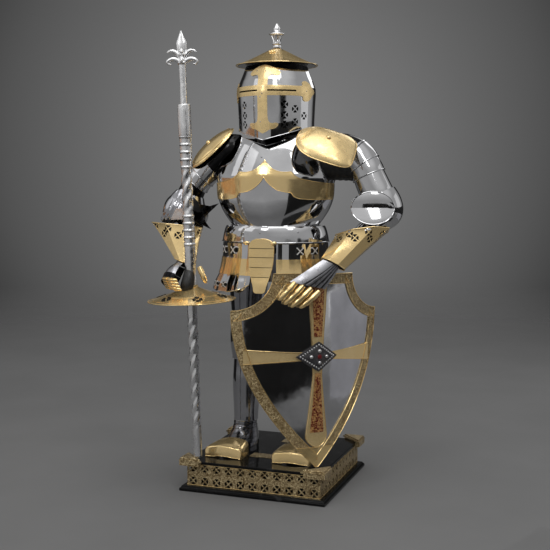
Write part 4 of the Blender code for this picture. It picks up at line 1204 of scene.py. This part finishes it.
def helm_cross():
    """The gilt cross with fleury ends that lies on the helm, split by the sights."""
    half = [*CROSS_HEAD, *((u, CROSS_MIDDLE + v) for u, v in CROSS_ARM),
            *((u, CROSS_MIDDLE - v) for u, v in CROSS_ARM[-2::-1]), *CROSS_FOOT]
    outline = half + [(-u, v) for u, v in half[::-1] if abs(u) > 1e-9]
    near, far = SIGHT_SPAN
    slots = [[corner[:2] for corner in rect(sign * near, SIGHT[0], sign * far, SIGHT[1], 0)]
             for sign in (-1, 1)]
    part = patch(outline, lambda a, z: helm_point(z, a, OVERLAY), 0.005, (0.0029, 1.0), slots)
    piece("helm_cross_gilt", [part], SATIN_GILT, "helm_cross", LEAF, sharp=14)
    studs = []
    for a, z in CROSS_STUDS:
        place = helm_point(z, a, OVERLAY)
        studs.append(dome(place, (place - (HELM_X, 0, 0)) * (1, 1, 0), 0.0028, 0.0018))
    # the studs take the darker steel as painted shade
    piece("helm_studs", studs, SHADE_STEEL)


def hat():
    piece("hat_cone", [sheet(upright(smoothed(HAT, 40), 96), True)], GILT, "hat", LEAF)
    middle, facing = np.array((HELM_X, -0.058, 1.8775)), (0, -0.45, 0.9)
    trim = [bead(upright(HAT[:1], 96)[0], RIM, True), dome(middle, facing, 0.006, 0.005, 14)]
    trim += [dome(middle + (0.011 * cos(a), -0.009 * sin(a), -0.0045 * sin(a)), facing,
                  0.0055, 0.004, 12) for a in circle(6)]
    piece("hat_trim", trim, GILT)
    # the brim's underside is black lacquer as painted shade under the brim
    lining = upright(((1.8205, 0.168), (1.8205, 0.014)), 64)
    piece("hat_underside", [sheet(lining, True)], LACQUER, "hat_lining", LEAF)
    parts = [capped(upright(smoothed(profile, rows), 32))
             for profile, rows in ((FINIAL_SOCKET, 30), (FINIAL_BUD, 40))]
    for x, y in ((-1, 0), (1, 0), (0, 1), (0, -1)):
        parts.append(bead([(HELM_X + x * out, y * out, z) for out, z in FINIAL_STRUT], 0.0048))
    parts.append(bead([(HELM_X, 0, 1.82), (HELM_X, 0, 1.9)], 0.005, count=12))
    piece("finial_bud", parts, SILVER, "finial")


# ---- Lance ----
# lobes' height over the shaft, and their turn in radians a metre; ends of the two twisted lengths
LOBE = 0.11
TWIST = 34.0
TWISTED = ((0.115, 0.605), (1.045, 1.237))
LANCE_WAY = unit(LANCE_TIP - LANCE_FOOT)
LANCE_SIDE = unit(LANCE_WAY * np.dot(HAND_ACROSS, LANCE_WAY) - HAND_ACROSS)
LANCE_OTHER = np.cross(LANCE_WAY, LANCE_SIDE)


def lance_point(distance):
    return LANCE_FOOT + LANCE_WAY * distance


def lance_rings(rows, count, flat=1.0):
    """Rings round the lance, from rows of distance and radius."""
    return [ring(lance_point(s), LANCE_WAY, LANCE_SIDE, r, count, flat) for s, r in rows]


def lance():
    """The shaft with its two twisted lengths and its rings, and the slim rod above them."""
    rings_at = [0.916 + 0.0295 * k for k in range(5)] + [1.239 + 0.031 * k for k in range(5)]
    grid = []
    for s, radius in smoothed(LANCE_SHAFT, 700):
        twist = max(0.0, *(min(1.0, (s - low) / 0.03, (high - s) / 0.03)
                           for low, high in TWISTED))
        ridge = min(1.0, sum(exp(-((s - at) / 0.0035) ** 2) for at in rings_at))
        row = []
        for a in circle(40):
            lobe = LOBE * twist * cos(3 * (a - s * TWIST))
            row.append(lance_point(s) + radius * (1 + lobe + 0.12 * ridge)
                       * (cos(a) * LANCE_SIDE + sin(a) * LANCE_OTHER))
        grid.append(row)
    rod = lance_rings(smoothed(LANCE_ROD, 20), 32)
    piece("lance_shaft", [capped(grid), capped(rod)], SILVER, "lance")
    lance_head()
    vamplate()


def lance_head():
    """A fleur: a collar, two curled side leaves with a pair behind, and a blade."""
    parts = [capped(lance_rings(smoothed(LANCE_COLLAR, 30), 32)),
             capped(lance_rings(smoothed(LANCE_BLADE, 40), 24, 0.42))]
    for way, reach in ((LANCE_SIDE, 1.0), (-LANCE_SIDE, 1.0), (LANCE_OTHER, 0.5),
                       (-LANCE_OTHER, 0.5)):
        for leaf, count in ((LANCE_LEAF, 28), (LANCE_CURL, 22)):
            stations = [(*(lance_point(s) + way * out * reach), r) for out, s, r in leaf]
            parts.append(capped(tube(route(stations, count), 14, np.cross(way, LANCE_WAY))))
    piece("lance_fleur", parts, SILVER, "lance_head")


def vamplate():
    """The round guard: a low cone with six dark crosses laid on it as painted shade in place of
    piercings, its rims and its collar.
    """
    cone = smoothed(((0.0, VAMPLATE_RADIUS), (0.3, 0.132), (0.68, 0.066), (1.0, 0.0245)), 30)
    rings = np.array(lance_rings([(VAMPLATE_AT + VAMPLATE_RISE * rise, radius)
                                  for rise, radius in cone], 96))
    crosses = []
    for k in range(6):
        i = (VAMPLATE_TURN + 16 * k) % 96
        across, up = rings[8, (i + 1) % 96] - rings[8, i - 1], rings[11, i] - rings[5, i]
        crosses += petals(rings[8, i], across, up, 0.021, 0.2, 0.0026)
    # the cone's inner face is painted shade
    piece("vamplate_cone", [sheet(rings, True)], GILT, "vamplate", PLATE, inside=PAINTED_SHADE)
    # the crosses are dark inlays: painted shade where piercings would show
    piece("vamplate_crosses", crosses, PAINTED_SHADE)
    collar = lance_rings([(VAMPLATE_AT + VAMPLATE_RISE + h, r) for h, r in
                          ((-0.002, 0.03), (0.004, 0.03), (0.006, 0.026), (0.006, 0.0222))], 48)
    trims = [bead(rings[0], 0.0026, True), bead(rings[12], 0.0014, True, 6),
             bead(rings[3], 0.0014, True, 6), sheet(collar, True)]
    piece("vamplate_trim", trims, GILT)


# ---- Shield ----
def shield_axes():
    out = np.array((sin(SHIELD_HEADING), -cos(SHIELD_HEADING), 0.0))
    across = np.array((cos(SHIELD_HEADING), sin(SHIELD_HEADING), 0.0))
    leant = UP * cos(SHIELD_LEAN) - out * sin(SHIELD_LEAN)
    return (across * cos(SHIELD_ROLL) - leant * sin(SHIELD_ROLL),
            leant * cos(SHIELD_ROLL) + across * sin(SHIELD_ROLL),
            out * cos(SHIELD_LEAN) + UP * sin(SHIELD_LEAN))


SHIELD_FRAME = shield_axes()


def shield_normal(across):
    side, _, out = SHIELD_FRAME
    turn = SHIELD_KEEL + SHIELD_BEND * abs(across)
    return out * cos(turn) + side * copysign(sin(turn), across) if across else out


def shield_point(across, up, lift=0.0):
    """A place on the shield's curved face, from its keel and from its foot."""
    side, upward, out = SHIELD_FRAME
    turn = SHIELD_KEEL + SHIELD_BEND * abs(across)
    reach = (sin(turn) - sin(SHIELD_KEEL)) / SHIELD_BEND
    back = (cos(SHIELD_KEEL) - cos(turn)) / SHIELD_BEND
    face = SHIELD_FOOT + side * copysign(reach, across) - out * back + upward * up
    return face + shield_normal(across) * lift


def shield_half(up):
    if up <= SHIELD_CORNER:
        share = up / SHIELD_CORNER
        return SHIELD_HALF * share * (2 - share)
    share = (SHIELD_TOP - up) / (SHIELD_TOP - SHIELD_CORNER)
    return SHIELD_HALF - (SHIELD_HALF - SHIELD_HORN) * sqrt(max(0.0, 1 - share * share))


def shield_rows(heights, half, count, lift=0.0):
    """Rows across the shield at these heights, reaching half(height) to each side."""
    return [[shield_point(half(h) * s, h, lift) for s in spread(-1, 1, count)] for h in heights]


def edge_line(width):
    """The line a width inside the shield's left edge, from its foot to the middle of its top."""
    points = [(shield_half(h), h) for h in spread(0.004, SHIELD_CORNER, 60)]
    points += [(SHIELD_HALF - (SHIELD_HALF - SHIELD_HORN) * sin(a),
                SHIELD_TOP - (SHIELD_TOP - SHIELD_CORNER) * cos(a))
               for a in np.radians(spread(0, 90, 30)[1:])]
    points += [(s, SHIELD_TOP) for s in spread(SHIELD_HORN, 0.0, 20)[1:]]
    points = np.array(points)
    ahead = np.gradient(points, axis=0)
    ahead /= np.linalg.norm(ahead, axis=1, keepdims=True)
    inner = points + np.column_stack([-ahead[:, 1], ahead[:, 0]]) * width
    inner[:, 0] = np.maximum(inner[:, 0], 0.0)
    return inner


def shield():
    corner = SHIELD_TOP - (SHIELD_TOP - SHIELD_CORNER) * np.cos(np.radians(spread(0, 90, 24)[1:]))
    heights = (*spread(0.004, SHIELD_CORNER, 60), *corner)
    piece("shield_plate", [sheet(shield_rows(heights, shield_half, 61))], STEEL, "shield", PLATE)

    def edge(sign, share, lift):
        return [shield_point(sign * s, h, lift) for s, h in edge_line(BORDER_WIDTH * share)]

    border = [sheet([edge(sign, share, OVERLAY) for share in spread(0.0, 1.0, 5)])
              for sign in (-1, 1)]
    lines = [edge(sign, share, OVERLAY + 0.001) for sign in (-1, 1) for share in (0.03, 0.97)]
    piece("shield_edge", border, ETCHED, "shield_border", LEAF)

    bar = smoothed(SHIELD_BAR, 80)
    lift = OVERLAY + 0.0008
    tip = shield_rows(spread(0.006, 0.087, 20), shield_half, 21, lift)
    piece("shield_tip", [sheet(tip)], GILT, thickness=LEAF)
    lines.append(tip[-1] + shield_normal(0.0) * 0.001)
    cross = [shield_rows(bar[:, 0], lambda h: column_at(bar, h, 1), 13, lift)]
    for sign, near, far in ((-1, 0.0145, 0.03), (1, 0.0115, 0.036)):
        cross.append([[shield_point(sign * between(0.028, SHIELD_HALF - 0.052, share),
                                    CROSS_AT + between(near, far, share ** 1.3) * t, lift)
                       for t in spread(-1, 1, 7)] for share in spread(0, 1, 40)])
    sheets = [sheet(rows) for rows in cross]
    piece("shield_cross", sheets[:2], GRANULAR, thickness=LEAF)
    piece("shield_arm", sheets[2:], GILT, thickness=LEAF)
    lines += [[row[i] for row in rows] for rows in cross for i in (0, -1)]
    piece("shield_lines", [bead(line, 0.0018, count=6) for line in lines], GILT)
    insets = [sheet(shield_rows(spread(low, high, 40), lambda h: column_at(bar, h, 1) * 0.66, 7,
                                lift + 0.0016)) for low, high in ((0.15, 0.395), (0.545, 0.752))]
    piece("shield_insets", insets, BEADED, thickness=LEAF)
    boss(lift + 0.002)


def boss(base):
    """The dark lozenge with its rim of pearls and its red stones."""
    corners = np.array(((0, -1), (1, 0), (0, 1), (-1, 0)))

    def at(x, y, lift):
        return shield_point(x * BOSS_HALF[0], CROSS_AT + y * BOSS_HALF[1], base + lift)

    def lozenge(scale, lift, count=10):
        return [at(*between(start, end, share) * scale, lift)
                for start, end in zip(corners, np.roll(corners, -1, axis=0))
                for share in np.linspace(0, 1, count, endpoint=False)]

    grid = [lozenge(scale, lift) for scale, lift in BOSS_LEVELS]
    piece("boss_plate", [sheet(grid, True)], BOSS, "shield_boss", LEAF, sharp=30)
    out = shield_normal(0.0)
    pearls = [dome(p, out, 0.0042, 0.004, 8) for p in lozenge(0.79, 0.0035, 8)]
    piece("boss_pearls", pearls, SILVER)
    piece("boss_stone", [dome(at(0.0, 0.0, 0.0095), out, 0.011, 0.008, 16)], RUBY)
    drops = [dome(at(x, y, 0.0095), out, 0.008, 0.008, 16)
             for x, y in ((0.34, 0), (-0.34, 0), (0, 0.38), (0, -0.38))]
    piece("boss_drops", drops, SILVER)


# ---- Setting ----
AZIMUTH = radians(19.82)
DISTANCE = 4.391
EYE = 1.334
PITCH = radians(5.452)
PAN = radians(0.039)
FOCAL_PX = 1001.0
FRAME_PX = 550.0
SENSOR = 36.0
FLOOR_RADIUS = 14.0
# azimuth, elevation, distance, width, height, brightness, of the soft lights
LIGHTS = {
    "left": (-52, 30, 3.2, 1.9, 1.7, 0.55),
    "right": (112, 10, 3.2, 1.6, 2.4, 0.32),
    "key": (-14, 29, 3.2, 0.55, 0.55, 7.0),
    "streak": (37, 38, 3.2, 0.42, 1.1, 4.0),
    "overhead": (20, 62, 3.1, 2.2, 1.2, 1.9),
    "top": (10, 84, 2.9, 2.4, 1.8, 1.2),
    "rear": (165, 35, 3.4, 1.6, 1.2, 1.5),
}
# azimuths of the start and end, then distance and two heights of the lower and upper edge
CARDS = {
    "flag_low": (24, 78, (1.2, 0.01, 0.01), (2.3, 0.01, 0.01), LEATHER),
    "flag_high": (24, 78, (2.6, 0.06, 0.3), (2.6, 1.42, 1.5), LEATHER),
    "flag_side": (78, 150, (2.6, 0.74, 0.74), (2.6, 1.5, 1.4), LEATHER),
    "pale_card": (98, 138, (2.58, 0.01, 0.01), (2.58, 0.73, 0.73), PALE),
    "screen": (-122, -48, (2.7, 1.12, 1.12), (2.7, 1.5, 1.45), SLATS),
    "flag_left": (-125, -80, (2.7, 0.01, 0.01), (2.7, 1.1, 1.1), LEATHER),
}


def camera():
    data = bpy.data.cameras.new("camera")
    data.sensor_width = SENSOR
    data.lens = SENSOR * FOCAL_PX / FRAME_PX
    made = linked("camera", data)
    made.location = (DISTANCE * sin(AZIMUTH), -DISTANCE * cos(AZIMUTH), EYE)
    made.rotation_euler = (pi / 2 - PITCH, 0.0, AZIMUTH + PAN)
    bpy.context.scene.camera = made


def compass(azimuth, elevation, distance, height=1.1):
    """A place at an azimuth from the front towards +X, and an elevation, seen from the armour."""
    a, e = radians(azimuth), radians(elevation)
    return np.array((distance * sin(a) * cos(e), -distance * cos(a) * cos(e),
                     height + distance * sin(e)))


def softbox(name, azimuth, elevation, distance, width, height, radiance):
    """A rectangular light that faces the armour's middle."""
    data = bpy.data.lights.new(name, "AREA")
    data.shape = "RECTANGLE"
    data.size, data.size_y = width, height
    data.energy = radiance * pi * width * height
    made = linked(name, data)
    place = compass(azimuth, elevation, distance)
    made.location = place
    way = unit((0.0, 0.0, 1.1) - place)
    made.rotation_euler = (acos(-way[2]), 0.0, atan2(way[1], way[0]) - pi / 2)


def card(name, start, end, near, far, finish):
    """A card round part of the armour, that only its polished sides see."""
    points = [compass(a, 0.0, radius, height) for radius, first, last in (near, far)
              for a, height in zip(spread(start, end, 13), spread(first, last, 13))]
    made = mesh_of(name, [(points, quads(2, 13))], finish)
    for use in ("camera", "shadow", "diffuse", "transmission", "volume_scatter"):
        setattr(made, "visible_" + use, False)


def floor():
    """A pale studio floor that melts into the backdrop far from the armour."""
    surface = Shader("floor", (0.62, 0.62, 0.63), 0.75, 0.0)
    surface.vary("Base Color", surface.noise(2.2), (0.3, 0.185), (0.7, 0.2))
    distance = surface.vectors("LENGTH", surface.place, output="Value")
    share = surface.maths("DIVIDE", distance, FLOOR_RADIUS)
    surface.vary("Alpha", share, (0.22, 1.0), (0.62, 0.0))
    rim = [(FLOOR_RADIUS * cos(a), FLOOR_RADIUS * sin(a), 0.0) for a in circle(36)]
    mesh_of("floor", [(rim, [tuple(range(36))])], surface.material)


def backdrop():
    """The studio round the armour: a grey wall behind, pale sides, and a dark doorway in front."""
    world = bpy.data.worlds.new("studio")
    bpy.context.scene.world = world
    world.use_nodes = True
    studio = Nodes(world.node_tree, "Generated")

    def shade(middle, *steps):
        """Brightness by the angle from a direction, as (degrees, brightness) steps."""
        towards = studio.vectors("DOT_PRODUCT", studio.place, middle, "Value")
        share = studio.maths("DIVIDE", studio.maths("ARCCOSINE", towards), pi)
        return studio.ramp(share, *((angle / 180, grey) for angle, grey in steps))

    walls = shade(-compass(degrees(AZIMUTH), -2.0, 1.0, 0.0), (0, 0.215), (8, 0.155), (15, 0.085),
                  (20, 0.02), (42, 0.02), (52, 0.3), (62, 0.38), (120, 0.38), (180, 0.32))
    doorway = shade(compass(51.5, 4.0, 1.0, 0.0), (0, 0.01), (6, 0.02), (8, 1.0))
    ceiling = shade(compass(20, 62.0, 1.0, 0.0), (0, 0.3), (34, 0.26), (52, 0.0))
    light = studio.vectors("ADD", studio.vectors("MULTIPLY", walls, doorway), ceiling)
    studio.join(light, world.node_tree.nodes["Background"].inputs["Color"])


def setting():
    camera()
    floor()
    backdrop()
    for name, placing in LIGHTS.items():
        softbox(name, *placing)
    for name, placing in CARDS.items():
        card(name, *placing)
    bpy.context.scene.view_settings.view_transform = "Standard"


for build in (setting, plinth, legs, torso, tongue, skirts, arms, helm, hat, lance, shield):
    build()
